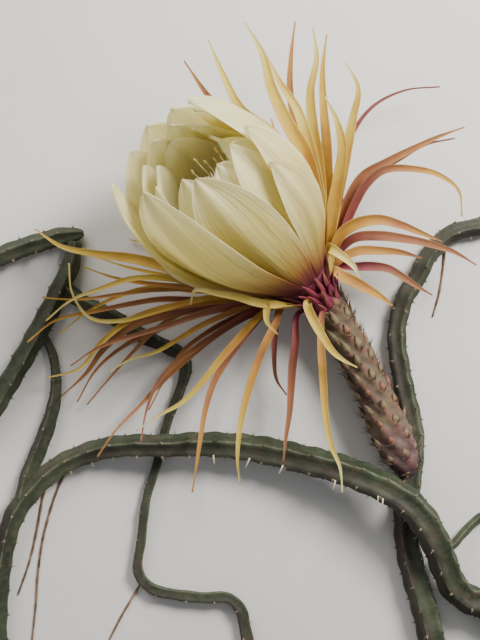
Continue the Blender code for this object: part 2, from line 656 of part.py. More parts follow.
def cup_profile(length, foot_radius, girth, leans, stations):
    """(radius, distance along the axis, lean in radians) at equal steps along a petal."""
    rows, radius, along = [], foot_radius, -0.5
    fine = 12
    steps = (stations - 1) * fine
    for k in range(steps + 1):
        turned_in = max(0.0, (k / steps - 0.25) / 0.75) ** 1.15
        lean = math.radians(leans[0] + (leans[1] - leans[0]) * turned_in)
        if k % fine == 0:
            rows.append((radius, along, lean))
        radius += math.sin(lean) * girth * length / steps
        along += math.cos(lean) * length / steps
    return rows


def cup_side(turn):
    """The outer face of the cup at this turn, from its foot to CUP_LENGTH."""
    return cup_profile(CUP_LENGTH, PETAL_FOOT_RADII[0], 1.0, (start_lean(turn), END_LEAN), CUP_STATIONS)


def flank_profile(turn, length):
    """The rows of a short petal that lies on the cup."""
    whole = cup_side(turn)
    rows = []
    for k in range(FLANK_STATIONS):
        at = length * k / (FLANK_STATIONS - 1)
        radius, along, lean = whole[round(at / CUP_LENGTH * (len(whole) - 1))]
        lift = FLANK_LIFT * min(1.0, at / FLANK_RISE)
        rows.append((radius + lift * math.cos(lean), along - lift * math.sin(lean), lean))
    return rows


def petal_half_width(x, widest):
    """Half width at share x of the length: a clawed base, broad past the middle and a short point."""
    swell = 0.28 + 0.72 * math.sin(math.pi / 2 * min(1.0, x / 0.66)) ** 1.2
    taper = max(0.0, (x - 0.64) / 0.36)
    return max(0.7, widest * swell * (1 - taper**2.2) ** 0.78)


def make_petal(profile, turn, widest, across_faces, rng):
    angle = math.radians(turn)
    radial = math.cos(angle) * SIDE + math.sin(angle) * FRONT
    across = math.sin(angle) * SIDE - math.cos(angle) * FRONT
    last = len(profile) - 1
    centres, sides, normals, halves = [], [], [], []
    for k, (radius, along, lean) in enumerate(profile):
        centres.append(RECEPTACLE + along * AXIS + radius * radial)
        sides.append(across)
        normals.append(math.cos(lean) * radial - math.sin(lean) * AXIS)
        halves.append(petal_half_width(k / last, widest))
    phase = rng.uniform(0, 2 * math.pi)

    def bend(k, q):
        x = k / last
        wrap = max(16.0, 0.95 * profile[k][0] + 4)  # the petal is curved round the cup
        dip = wrap - math.sqrt(max(0.0, wrap**2 - (q * halves[k]) ** 2))
        wave = 0.8 * x * math.sin(5 * x + phase) * q**2
        tilt = PINWHEEL_TILT * q * min(1.0, 2 * x)
        return halves[k] / widest * (tilt + wave) - dip

    shape = (centres, sides, normals, halves)
    return blade("petal", *shape, PETAL_THICKNESS, across_faces, bend, "petal_cream")


def make_petals():
    rng = random.Random(11)
    base = turned("petals", PETAL_BASE, 20, "petal_cream")
    blades = []
    for turn, length, widest, end_lean in OUTER_PETALS:
        leans = (start_lean(turn), end_lean)
        profile = cup_profile(length, PETAL_FOOT_RADII[0], 1.0, leans, PETAL_STATIONS)
        blades.append(make_petal(profile, turn, widest, PETAL_ACROSS, rng))
    for turn, length, widest in FLANK_PETALS:
        blades.append(make_petal(flank_profile(turn, length), turn, widest, FLANK_ACROSS, rng))
    for whorl, rows in enumerate(INNER_WHORLS, 1):
        for turn, length, widest, end_lean in rows:
            leans = (start_lean(turn), end_lean)
            girth = INNER_GIRTHS[whorl - 1]
            profile = cup_profile(length, PETAL_FOOT_RADII[whorl], girth, leans, INNER_STATIONS)
            blades.append(make_petal(profile, turn, widest, INNER_ACROSS, rng))
    apply_boolean(base, "UNION", blades, "MANIFOLD")


def stem_obstacles():
    """(x, y, height of the top, radius) along every stem, which the sepals pass over."""
    obstacles = []
    for name, points in ROUTES.items():
        spine = SPINE_LENGTH if STEMS[name][3] else 0.0
        for x, y, z, radius in smooth_route(points, 4.0):
            obstacles.append((x, y, z + (1 + CREST_RISE) * radius + spine, radius))
    return obstacles


def kept_clear(point, half_width, obstacles, tube_route):
    """The point pushed off the cup, the tube, the stems and the surface, so a sepal touches none."""
    offset = point - RECEPTACLE
    along = offset.dot(AXIS)
    radial = offset - along * AXIS
    cup = cup_side(math.degrees(math.atan2(radial.dot(FRONT), radial.dot(SIDE))))
    nearest = min(cup, key=lambda row: abs(row[1] - along))
    room = nearest[0] + 3.4 + 0.5 * half_width
    if -2 < along < cup[-1][1] and radial.length < room:
        point = RECEPTACLE + along * AXIS + radial.normalized() * room
    for x, y, z, radius in tube_route:
        away = point - Vector((x, y, z))
        room = radius + 1.2 + half_width
        if away.length < room:
            point = Vector((x, y, z)) + away.normalized() * room
    floor = SEPAL_DEPTH + 0.2
    for x, y, top, radius in obstacles:
        gap = math.hypot(point.x - x, point.y - y) - radius - half_width
        floor = max(floor, top + SEPAL_DEPTH + 0.8 - 0.7 * max(0.0, gap))
    point.z = max(point.z, floor)
    return point


def sepal_half_width(x, widest):
    rise = 0.5 + 0.5 * math.sin(math.pi / 2 * min(1.0, x / 0.45))
    return max(0.4, widest * rise * (1 - x**2.6) ** 0.85)


def make_sepal(widest, points, obstacles, tube_route):
    """A narrow keeled sepal from the collar through the given points, turned so that its face looks up."""
    offset = Vector(points[0]) - RECEPTACLE
    forward = offset.dot(AXIS)
    radial = (offset - forward * AXIS).normalized()
    foot_along = min(-4.5, max(-11.0, -8.0 + 0.2 * forward))
    foot_radius = COLLAR_RADII[0] + (COLLAR_RADII[1] - COLLAR_RADII[0]) * (foot_along + 14.0) / 12.0
    foot = RECEPTACLE + foot_along * AXIS + (foot_radius - 1.4) * radial
    route = smooth_route([tuple(foot), *points], 1.0)
    last = len(points) + 1
    stations = [Vector(route[round(k * (len(route) - 1) / last)]) for k in range(last + 1)]
    halves = [sepal_half_width(k / last, widest) for k in range(last + 1)]
    centres = stations[:1] + [
        kept_clear(p, half, obstacles, tube_route) for p, half in zip(stations[1:], halves[1:])
    ]
    tangential = AXIS.cross(radial)
    rings = []
    for k, (centre, (tangent, level, _)) in enumerate(zip(centres, frames_along(centres))):
        turn = min(1.0, k / 3)
        side = (1 - turn) * (tangential if tangential.dot(level) > 0 else -tangential) + turn * level
        side = (side - side.dot(tangent) * tangent).normalized()
        face = side.cross(tangent)
        depth = SEPAL_DEPTH * (0.45 + 0.55 * halves[k] / widest)
        rings.append([
            centre + halves[k] * side, centre - halves[k] * side, centre - depth * face,
        ])
    return solid("sepal", *skin(rings), "sepal_amber")


def make_sepals():
    obstacles = stem_obstacles()
    tube_route = smooth_route(FLOWER_TUBE, 3.0)[6:]
    outline = [(COLLAR_FOOT, COLLAR_RADII[0]), (COLLAR_TOP, COLLAR_RADII[1])]
    collar = turned("sepals", outline, 20, "sepal_amber")
    blades = [make_sepal(widest, points, obstacles, tube_route) for widest, points in SEPALS]
    apply_boolean(collar, "UNION", blades, "MANIFOLD")


def make_stamens():
    rng = random.Random(3)
    foot = PETAL_BASE[-1][0] + SEAT_GAP
    ring = [(foot, STAMEN_RING[0]), (foot, STAMEN_RING[1]), (foot + STAMEN_RING_DEPTH, STAMEN_RING[1]),
            (foot + STAMEN_RING_DEPTH, STAMEN_RING[0])]
    loops = [ring_of_axis(along, radius, 18) for along, radius in ring]
    points = [p for loop in loops for p in loop]
    faces = []
    for k in range(4):
        for j in range(18):
            a, b = k * 18 + j, k * 18 + (j + 1) % 18
            c, d = (k + 1) % 4 * 18 + (j + 1) % 18, (k + 1) % 4 * 18 + j
            faces += [(a, d, c), (a, c, b)]
    base = solid("stamens", points, faces, "stamen_yellow")
    threads = []
    for k in range(STAMEN_COUNT):
        angle = 2 * math.pi * (k * 0.381966)
        depth = (k + 0.5) / STAMEN_COUNT
        radial = math.cos(angle) * SIDE + math.sin(angle) * FRONT
        length = 42 + 27 * depth + rng.uniform(-3, 3)
        lean = math.radians(19 - 8 * depth)
        start = RECEPTACLE + (foot + 0.5) * AXIS + (STAMEN_RING[0] + 1 + 3 * (1 - depth) + 0.4) * radial
        knee = start + 0.4 * length * (math.cos(lean) * AXIS + math.sin(lean) * radial)
        late = lean * 0.35
        tip = knee + 0.6 * length * (math.cos(late) * AXIS + math.sin(late) * radial)
        bends = [(*point, STAMEN_RADIUS) for point in (start, knee, tip)]
        route = smooth_route(bends, length / 3)
        threads.append(solid("thread", *skin(round_rings(route, 3)), "stamen_yellow"))
        end_way = (tip - knee).normalized()
        threads.append(anther(tip, end_way))
    apply_boolean(base, "UNION", threads, "MANIFOLD")


def anther(centre, along):
    across = along.orthogonal().normalized()
    over = along.cross(across)
    half, reach = 0.9, ANTHER_LENGTH / 2
    points = [centre - reach * along, centre + half * across, centre + half * over,
              centre - half * across, centre - half * over, centre + reach * along]
    faces = [(0, 2, 1), (0, 3, 2), (0, 4, 3), (0, 1, 4), (5, 1, 2), (5, 2, 3), (5, 3, 4), (5, 4, 1)]
    return solid("anther", points, faces, "stamen_yellow")


def make_pistil():
    foot = PETAL_BASE[-1][0] + SEAT_GAP
    top = foot + STYLE_LENGTH
    style = turned("pistil", [(foot, STYLE_RADIUS + 0.5), (foot + 8, STYLE_RADIUS), (top - 6, STYLE_RADIUS),
                              (top, STYLE_RADIUS + 0.8)], 8, "pistil_cream")
    lobes = []
    start = RECEPTACLE + (top - 1.2) * AXIS
    for k in range(STIGMA_LOBES):
        angle = 2 * math.pi * k / STIGMA_LOBES
        radial = math.cos(angle) * SIDE + math.sin(angle) * FRONT
        tip = start + STIGMA_REACH * (0.72 * AXIS + 0.69 * radial)
        lobes.append(cone("lobe", start, tip, 0.8, 4, "pistil_cream"))
    apply_boolean(style, "UNION", lobes, "MANIFOLD")


def main():
    clear_scene()
    make_stems()
    make_aerial_roots()
    make_flower_tube()
    make_sepals()
    make_petals()
    make_stamens()
    make_pistil()


main()
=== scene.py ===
"""Looks of the orchid cactus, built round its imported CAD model.

Every CAD node is replaced by a finer piece of the same form. The kernels below follow the part's own
formulas, so each piece lies where its solid lies. Numbers are millimetres unless a name says otherwise.
"""

import random
from math import atan2, cos, degrees, hypot, pi, radians, sin

import bpy
import numpy as np
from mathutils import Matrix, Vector


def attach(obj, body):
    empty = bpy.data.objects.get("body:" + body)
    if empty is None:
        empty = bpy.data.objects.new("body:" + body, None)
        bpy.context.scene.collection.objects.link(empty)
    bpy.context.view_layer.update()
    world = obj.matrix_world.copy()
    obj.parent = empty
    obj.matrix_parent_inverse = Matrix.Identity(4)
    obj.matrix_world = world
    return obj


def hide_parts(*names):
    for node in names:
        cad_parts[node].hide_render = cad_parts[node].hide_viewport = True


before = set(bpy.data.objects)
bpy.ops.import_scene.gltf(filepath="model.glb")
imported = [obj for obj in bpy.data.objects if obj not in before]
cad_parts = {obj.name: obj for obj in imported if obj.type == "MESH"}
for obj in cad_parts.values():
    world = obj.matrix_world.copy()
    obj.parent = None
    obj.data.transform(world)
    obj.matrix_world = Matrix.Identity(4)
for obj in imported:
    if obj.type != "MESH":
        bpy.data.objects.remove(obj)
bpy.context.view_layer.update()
MM = 0.001
UP = np.array((0.0, 0.0, 1.0))

# ------------------------------ the part's own measures

RIB_VALLEY = 0.74
CREST_RISE = 0.05
ROLL = radians(12)
TWIST_PER_MM = radians(0.16)
TIP_LENGTH = 9.0

ROUTES = {
    "stem_main": [
        (27, -146, 6.6, 6.8), (20, -118, 6.6, 6.8), (14.5, -97, 6.6, 6.8), (10, -80, 6.6, 6.7),
        (6, -64, 6.5, 6.6), (1.5, -49, 6.4, 6.5), (-1.5, -35, 6.2, 6.4), (-2.2, -17, 5.6, 6.2),
        (0.2, 1, 4.7, 5.9), (1.0, 19, 4.7, 5.4), (-4, 43, 4.8, 5.0), (-7, 65, 4.5, 4.7),
        (-3.5, 82, 4.4, 4.6), (2.5, 92, 4.4, 4.6), (8, 103, 4.4, 4.6), (18, 113.5, 4.4, 4.6),
        (33, 117.5, 4.3, 4.5), (50, 120, 4.0, 4.2),
    ],
    "stem_arching": [
        (19, -106, 7.0, 5.4), (29, -105.5, 7.0, 6.0), (38, -100.5, 7.0, 6.4), (45, -90.5, 7.0, 6.6),
        (46.5, -79, 7.1, 6.8), (42.5, -69, 7.8, 7.0), (34, -63, 8.7, 7.1), (26, -59.5, 9.8, 7.2),
        (19.5, -53.5, 11.6, 7.3), (15, -44, 14.4, 7.3), (9.5, -31, 18.4, 7.3), (2, -18.5, 20.9, 7.4),
        (-9.5, -8.5, 20.7, 7.4), (-30, 0.5, 16.0, 7.4), (-54, 6.5, 10.5, 7.3), (-77, 11, 8.2, 6.9),
        (-99, 13, 9.2, 6.3), (-117, 12.5, 10.6, 5.8), (-134, 12.5, 8.8, 5.6), (-150, 10, 6.0, 5.5),
        (-168, 2.5, 5.2, 5.4), (-181, -9, 5.1, 5.3), (-190, -22, 5.0, 5.2), (-195, -40, 4.9, 5.1),
        (-197.5, -62, 4.8, 5.0), (-198, -84, 4.7, 4.9), (-196.5, -104, 4.6, 4.8),
    ],
    "stem_trailing": [
        (14, -107, 5.0, 3.4), (-3, -114, 3.4, 3.6), (-36, -116, 3.4, 3.6), (-62, -108, 3.3, 3.5),
        (-75, -93, 3.2, 3.4), (-79, -78, 3.1, 3.3), (-81.5, -67, 3.1, 3.3), (-88, -61, 3.1, 3.3),
        (-99, -61, 3.1, 3.3), (-113, -59.5, 3.0, 3.2), (-124.5, -56.5, 2.9, 3.1), (-131, -48, 2.8, 3.0),
        (-129.5, -34, 2.6, 2.8), (-127, -14, 2.4, 2.6), (-122, 3, 2.3, 2.5), (-117, 23, 2.3, 2.5),
        (-111, 38, 2.6, 2.8), (-108, 49, 3.0, 3.2), (-110, 55.5, 3.3, 3.5), (-116, 59, 3.5, 3.7),
        (-130, 65.5, 3.7, 3.9), (-144, 74.5, 3.8, 4.0), (-153, 78.5, 3.8, 4.0), (-161, 83.5, 3.9, 4.0),
        (-169, 89.5, 4.4, 3.6),
    ],
    "stem_left": [
        (-214, 95.5, 4.9, 5.1), (-197, 102.5, 4.8, 5.0), (-187, 106.5, 4.7, 4.9), (-179, 109, 4.6, 4.8),
        (-169, 112, 4.4, 4.6), (-157, 114, 3.4, 3.6),
    ],
    "branch_left": [
        (-161, 110, 4.6, 3.4), (-163, 99.5, 4.8, 4.6), (-167, 90, 4.9, 5.0), (-172, 79.5, 5.0, 5.2),
        (-178.5, 67.5, 5.1, 5.3), (-187, 52.5, 5.1, 5.3), (-196.5, 36.5, 5.1, 5.3), (-205, 22, 5.0, 5.2),
    ],
    "branch_low_left": [
        (-187, -14, 5.0, 3.4), (-183.5, -2, 4.0, 4.0), (-178.5, 10, 3.9, 4.1), (-174, 22, 3.7, 3.9),
        (-171, 34, 3.1, 3.3), (-170.5, 46, 2.5, 2.7), (-172.5, 57, 2.2, 2.4), (-177, 66, 3.2, 2.1),
    ],
    "side_shoot": [
        (11, -36, 15.0, 1.9), (18, -34.5, 11.5, 2.0), (24.5, -29.5, 6.5, 2.1), (30, -25, 3.4, 2.1),
        (36, -21.5, 2.0, 2.1), (47, -19.5, 1.8, 1.9),
    ],
}
# ribs, step between the part's rings, growing tip, cut ends at the foot and at the far end, and how strongly
# it is tinted purplish brown, which is painted darkest as shade on its side away from the light
STEMS = {
    "stem_main": (5, 6.0, True, (True, False), 0.90),
    "stem_arching": (5, 6.0, True, (False, False), 0.75),
    "stem_left": (5, 6.0, True, (True, False), 0.25),
    "branch_left": (5, 6.0, False, (False, True), 0.55),
    "stem_trailing": (4, 7.0, False, (False, False), 0.85),
    "branch_low_left": (4, 6.0, False, (False, False), 0.75),
    "side_shoot": (4, 5.0, True, (False, False), 0.45),
}
SPINE_LENGTH = 2.6

ROOT_RADIUS = 0.6
AERIAL_ROOTS = {
    "aerial_root_outer": [
        (-173, -3, 3.0), (-176.5, -11, 0.8), (-180, -29, 0.6), (-183.5, -44, 0.6), (-189, -60, 0.6),
    ],
    "aerial_root_inner": [
        (-165, 1, 3.0), (-169, -7, 0.8), (-173, -18, 0.6), (-177, -33, 0.6), (-179.5, -50, 0.6),
        (-180.5, -65, 0.6), (-182.5, -84, 0.6),
    ],
    "aerial_root_low": [(-128, -51, 2.0), (-133, -60, 0.7), (-140, -72, 0.6), (-148, -88, 0.6)],
    "aerial_root_right": [(17, 111, 3.0), (16.5, 102, 0.7), (14.5, 87, 0.6), (11, 74, 0.6)],
}

RECEPTACLE = np.array((-50.6, 89.5, 24.0))
AXIS_TURN = radians(135)
AXIS_LIFT = radians(30)
AXIS = np.array((
    cos(AXIS_LIFT) * cos(AXIS_TURN), cos(AXIS_LIFT) * sin(AXIS_TURN), sin(AXIS_LIFT),
))
SIDE = np.array((sin(AXIS_TURN), -cos(AXIS_TURN), 0.0))
FRONT = np.cross(SIDE, AXIS)

COLLAR_FOOT, COLLAR_TOP = -14.0, -2.0
TUBE_END = RECEPTACLE + (COLLAR_FOOT - 0.3) * AXIS
FLOWER_TUBE = [
    (-1, 1, 8.0, 4.0), (-5, 7, 12.0, 7.6), (-9.5, 16, 13.6, 9.0), (-14, 27, 14.0, 8.6),
    (-19, 38, 14.2, 8.0), (-27.5, 56, 14.4, 7.8), (-35.5, 70, 14.8, 8.0),
    (TUBE_END[0], TUBE_END[1], TUBE_END[2], 8.6),
]

COLLAR_RADII = (8.8, 9.8)
SEPAL_DEPTH = 1.6
# widest half width, tone in the middle and at the tip, then x, y and height along it.
# Tones run from 0, cream, over yellow, amber and salmon to 1, dark brown.
SEPALS = [
    # upper right
    (3.0, 0.63, 0.62, (-55, 127, 28), (-75, 154, 36), (-96, 172, 40), (-107, 188, 42)),
    (3.4, 0.38, 0.12, (-52, 121, 28), (-62, 142, 36), (-78, 159, 44), (-86, 170, 47), (-90, 182, 48),
     (-96, 196, 48)),
    (4.0, 0.41, 0.14, (-46, 111, 29), (-49, 131, 38), (-54, 147, 47), (-64, 163, 54), (-70, 178, 57),
     (-74, 193, 58), (-80, 201, 58)),
    (3.6, 0.31, 0.18, (-45, 114, 28), (-47, 131, 35), (-51, 148, 42), (-56, 164, 46), (-62, 173, 48),
     (-67, 182, 48), (-70, 189, 47)),
    (2.6, 0.55, 0.50, (-46, 119, 24), (-49, 139, 28), (-55, 157, 32), (-59, 172, 34), (-59, 190, 34),
     (-57, 208, 33)),
    (3.2, 0.39, 0.16, (-44, 116, 26), (-46, 136, 33), (-48, 151, 39), (-51, 168, 45), (-50, 179, 48),
     (-48, 191, 50), (-50, 201, 50)),
    (2.9, 0.44, 0.34, (-42, 118, 22), (-42, 139, 27), (-43, 159, 32), (-45, 178, 36), (-44, 194, 38),
     (-43, 201, 38)),
    (3.4, 0.40, 0.20, (-40, 116, 24), (-38, 132, 30), (-36, 147, 36), (-37, 157, 39), (-41, 166, 41),
     (-44, 172, 42)),
    (3.1, 0.42, 0.16, (-39, 117, 20), (-36, 135, 24), (-33, 150, 28), (-31, 163, 31), (-28, 173, 33),
     (-30, 183, 34), (-34, 189, 34)),
    (1.3, 0.88, 0.92, (-37, 122, 16), (-33, 145, 18), (-27, 165, 18), (-14, 176, 17), (-1, 181, 16),
     (12, 182, 15)),
    # right
    (2.5, 0.64, 0.55, (-35, 118, 20), (-31, 130, 24), (-25, 139, 27), (-14, 145, 30), (-2, 151, 32),
     (9, 156, 33), (20, 160, 33)),
    (1.8, 0.72, 0.75, (-34, 117, 17), (-29, 129, 20), (-21, 139, 23), (-8, 147, 25), (3, 153, 26),
     (17, 156, 26)),
    (2.2, 0.74, 0.30, (-33, 116, 22), (-28, 128, 27), (-22, 137, 31), (-14, 141, 34), (-1, 140, 37),
     (11, 136, 38), (17, 129, 38), (18, 119, 37)),
    (3.0, 0.48, 0.66, (-37, 109, 25), (-31, 115, 29), (-24, 118, 32), (-14, 117, 34), (-3, 113, 34),
     (10, 108, 33)),
    (2.6, 0.66, 0.72, (-35, 106, 20), (-26, 111, 22), (-13, 111, 23), (4, 108, 23), (15, 105, 22),
     (28, 98, 20)),
    (2.6, 0.50, 0.66, (-35, 102, 24), (-25, 104, 26), (-11, 104, 26), (2, 101, 24)),
    (2.4, 0.78, 0.70, (-38, 97, 20), (-29, 97, 21), (-16, 97, 22), (-7, 93, 20), (1, 88, 18), (8, 84, 17)),
    (3.0, 0.46, 0.40, (-41, 94, 27), (-34, 92, 28), (-26, 88, 27), (-17, 83, 25), (-11, 79, 22)),
    (2.8, 0.24, 0.08, (-47, 102, 36), (-42, 103, 40), (-36, 101, 42), (-31, 96, 42), (-28, 91, 41)),
    # below
    (1.9, 0.66, 0.40, (-63, 82, 22), (-75, 71, 22), (-83, 61, 21), (-90, 51, 20), (-96, 39, 21),
     (-99, 26, 24), (-101, 12, 27), (-104, -7, 26)),
    (2.1, 0.52, 0.14, (-61, 80, 25), (-66, 70, 27), (-72, 58, 28), (-77, 44, 28), (-81, 29, 29),
     (-83, 15, 30), (-83, 5, 29), (-82, -3, 27)),
    (1.7, 0.80, 0.72, (-63, 80, 18), (-65, 70, 17), (-66, 58, 16), (-65, 45, 14), (-60, 37, 13)),
    (2.2, 0.70, 0.74, (-55, 79, 23), (-56, 65, 24), (-58, 49, 24), (-59, 31, 24), (-61, 17, 25),
     (-62, 7, 25)),
    (2.0, 0.45, 0.04, (-44, 81, 26), (-45, 63, 29), (-44, 45, 30), (-43, 29, 30), (-40, 14, 30),
     (-36, 4, 29), (-35, -7, 27)),
    (2.3, 0.36, 0.16, (-52, 81, 36), (-49, 72, 40), (-45, 65, 41), (-41, 59, 40), (-35, 54, 38),
     (-29, 51, 36)),
    (2.6, 0.34, 0.30, (-62, 86, 32), (-68, 85, 37), (-70, 79, 40), (-70, 72, 40), (-65, 66, 38)),
    (2.1, 0.26, 0.06, (-72, 82.5, 42), (-82, 83.5, 52), (-93, 85, 60), (-99.5, 85.5, 62), (-104, 83.5, 60),
     (-103.5, 79, 56)),
    # lower left, in the shade under the cup: their tones are set browner, partly their own colour and partly
    # painted shade
    (1.5, 0.52, 0.02, (-72, 80, 20), (-86, 76, 19), (-98, 71, 18), (-110, 64, 17), (-120, 58, 16),
     (-131, 55, 15), (-144, 48, 14)),
    (1.9, 0.44, 0.02, (-66, 80, 27), (-77, 70, 29), (-87, 59, 29), (-97, 47, 28), (-105, 37, 27),
     (-117, 30, 25), (-130, 21, 22)),
    (1.4, 0.66, 0.60, (-70, 77, 15), (-89, 68, 13), (-108, 53, 11), (-125, 37, 10), (-136, 24, 13),
     (-146, 16, 16), (-149, 8, 16)),
    (1.7, 0.66, 0.80, (-72, 78, 17), (-88, 69, 15), (-103, 59, 13), (-116, 49, 12), (-124, 37, 12),
     (-127, 25, 15), (-128, 16, 18)),
    (1.6, 0.66, 0.60, (-75, 80, 12), (-101, 75, 11), (-125, 66, 9), (-142, 57, 7), (-152, 47, 6),
     (-160, 33, 5)),
    (2.6, 0.66, 0.66, (-74, 82, 16), (-98, 79, 15), (-120, 74, 14), (-136, 68, 13), (-147, 58, 12),
     (-156, 46, 10), (-167, 36, 9)),
    (2.0, 0.46, 0.22, (-72, 83, 19), (-96, 81, 19), (-117, 78, 18), (-136, 71, 17), (-148, 61, 15),
     (-157, 50, 13), (-174, 45, 11)),
    (1.5, 0.36, 0.08, (-77, 84, 22), (-101, 82, 22), (-119, 77, 20), (-138, 72, 18), (-151, 73, 17),
     (-159, 79, 17), (-161, 90, 18), (-162, 99, 18)),
    (1.4, 0.60, 0.46, (-80, 86, 17), (-105, 87, 17), (-129, 86, 16), (-148, 83, 15), (-162, 82, 14),
     (-175, 83, 13)),
    (1.6, 0.48, 0.20, (-77, 85, 12), (-99, 86, 11), (-120, 88, 11), (-136, 85, 11), (-153, 77, 11),
     (-167, 66, 12)),
    (1.7, 0.38, 0.14, (-80, 86, 24), (-100, 89, 25), (-119, 92, 25), (-135, 91, 24), (-149, 86, 22),
     (-164, 80, 19), (-173, 72, 17)),
    (1.5, 0.40, 0.16, (-82, 88, 15), (-106, 91, 14), (-124, 95, 14), (-138, 98, 14), (-150, 102, 14)),
    (3.0, 0.40, 0.34, (-82, 88, 26), (-105, 93, 27), (-123, 99, 27), (-140, 102, 25), (-156, 104, 22),
     (-168, 108, 19), (-178, 115, 17)),
    (1.6, 0.66, 0.40, (-75, 83, 14), (-98, 82, 13), (-122, 82, 13), (-143, 78, 13), (-162, 74, 13),
     (-174, 70, 13), (-182, 62, 13)),
    (1.4, 0.66, 0.60, (-75, 82, 10), (-96, 80, 8), (-115, 73, 10), (-129, 61, 10), (-143, 46, 8),
     (-155, 32, 6)),
    (1.6, 0.66, 0.30, (-82, 87, 19), (-108, 88, 19), (-129, 90, 18), (-144, 93, 17), (-155, 97, 16)),
    (1.7, 0.66, 0.60, (-74, 81, 24), (-94, 77, 25), (-112, 71, 25), (-128, 66, 24), (-145, 61, 22),
     (-161, 51, 19)),
    (1.4, 0.66, 0.62, (-72, 79, 10), (-89, 71, 8), (-106, 61, 10), (-118, 44, 6), (-125, 30, 5)),
    # under the cup
    (2.0, 0.24, 0.30, (-61, 103, 9), (-77, 118, 5), (-96, 132, 3), (-116, 147, 2)),
    (2.0, 0.40, 0.30, (-63, 100, 9), (-84, 111, 5), (-106, 119, 3), (-125, 128, 2)),
    (2.0, 0.34, 0.30, (-56, 106, 9), (-68, 127, 5), (-80, 147, 3), (-88, 165, 2)),
    (2.0, 0.44, 0.40, (-53, 107, 10), (-57, 130, 6), (-62, 151, 4), (-67, 169, 3)),
    (2.0, 0.30, 0.30, (-65, 96, 9), (-89, 100, 5), (-111, 105, 3), (-135, 111, 2)),
]

# Lean away from the axis at a petal's foot: its mean, and how much it changes around the cup.
START_LEAN, LOPSIDED = 32.5, 2.5
UPRIGHT_TURN = 8  # where the cup leans out least
END_LEAN = -34
CUP_LENGTH = 110.0
# from the outermost in: radius at the foot, girth as a share of the cup, how far the red foot has faded,
# then each petal's turn, length, half width and lean at the tip
WHORLS = [
    (8.2, 1.0, 0.0, [
        (104, 96, 16.5, -28), (143, 106, 21.0, -27), (191, 110, 18.5, -28), (233, 108, 18.0, -35),
        (264, 109, 18.5, -34), (297, 109, 18.5, -39), (335, 107, 17.0, -45), (9, 116, 19.5, -48),
        (54, 92, 17.5, -30),
    ]),
    (6.9, 0.88, 0.58, [
        (77, 90, 15.5, -34), (121, 97, 16.0, -38), (166, 99, 16.0, -40), (214, 104, 16.0, -42),
        (252, 106, 16.0, -42), (284, 106, 16.0, -44), (320, 101, 15.5, -46), (31, 93, 14.5, -42),
    ]),
    (5.6, 0.76, 0.74, [
        (62, 86, 14.5, -34), (134, 95, 16.0, -46), (208, 102, 16.5, -48), (270, 102, 16.5, -48),
        (348, 93, 15.0, -42),
    ]),
]
# turn, length and half width of the short ones that lie on the cup
FLANK_PETALS = [(56, 78, 9.5), (38, 70, 6.0), (45, 94, 9.5), (196, 73, 9.0)]
FLANK_LIFT, FLANK_RISE = 1.6, 15.0  # off the cup, reached after this length
PINWHEEL_TILT = 2.0

STAMEN_RING = (2.6, 7.4)
STAMEN_RING_DEPTH = 1.4
STYLE_RADIUS = 1.3
STYLE_LENGTH = 62.0
STIGMA_REACH = 7.0

# ------------------------------ curves and rings

SPLINE_STEPS = 24
ANY_SIDE = (0.36, 0.48, 0.8)  # no free curve starts out this way


def travelled_along(points):
    """The distance along a curve up to each of its points."""
    return np.concatenate([[0], np.cumsum(np.linalg.norm(np.diff(points, axis=0), axis=1))])


def smooth_route(points, step):
    """Rows about step apart on a Catmull-Rom curve through the given rows, whose first three are a place."""
    rows = np.array(points, float)
    rows = np.concatenate([[2 * rows[0] - rows[1]], rows, [2 * rows[-1] - rows[-2]]])
    u = np.arange(SPLINE_STEPS)[:, None] / SPLINE_STEPS
    spans = []
    for a, b, c, d in zip(rows, rows[1:], rows[2:], rows[3:]):
        square = (2 * a - 5 * b + 4 * c - d) * u**2
        cube = (3 * b - a - 3 * c + d) * u**3
        spans.append(0.5 * (2 * b + (c - a) * u + square + cube))
    fine = np.concatenate([*spans, rows[-2:-1]])
    lengths = travelled_along(fine[:, :3])
    wanted = np.linspace(0, lengths[-1], max(2, round(lengths[-1] / step)) + 1)
    return np.stack([np.interp(wanted, lengths, column) for column in fine.T], axis=1)


def unit(vectors):
    vectors = np.asarray(vectors, float)
    return vectors / np.maximum(np.linalg.norm(vectors, axis=-1, keepdims=True), 1e-12)


def frames_along(centres):
    """(tangents, sides, tops) along a curve, with every side level."""
    tangents = unit(np.gradient(centres, axis=0))
    sides = unit(np.cross(tangents, UP))
    return tangents, sides, np.cross(sides, tangents)


def free_frames(centres):
    """The same for a curve that may stand upright."""
    tangents = unit(np.gradient(centres, axis=0))
    side = unit(np.cross(tangents[0], ANY_SIDE))
    sides = []
    for tangent in tangents:
        side = unit(side - side.dot(tangent) * tangent)
        sides.append(side)
    sides = np.array(sides)
    return tangents, sides, np.cross(sides, tangents)


def turns(count):
    """Angles spread evenly all the way round."""
    return np.linspace(0, 2 * pi, count, endpoint=False)


def rings_round(centres, reach, angles, sides, tops):
    """A ring of points about each centre, from each point's reach and angle."""
    ways = np.cos(angles)[..., None] * sides[:, None] + np.sin(angles)[..., None] * tops[:, None]
    return centres[:, None] + reach[..., None] * ways


def tube_rings(centres, radii, sides, free=False):
    """Round rings along a curve; radii is one number, or one for each centre."""
    _, across, over = (free_frames if free else frames_along)(centres)
    reach = np.broadcast_to(radii, len(centres))[:, None]
    return rings_round(centres, reach, turns(sides), across, over)


def summed(first, steps):
    """A value that starts at first and grows by each step but the last."""
    return first + np.concatenate([[0], np.cumsum(steps)[:-1]])


def spoke(angle):
    """The way straight out from the flower's axis at this angle."""
    return cos(angle) * SIDE + sin(angle) * FRONT


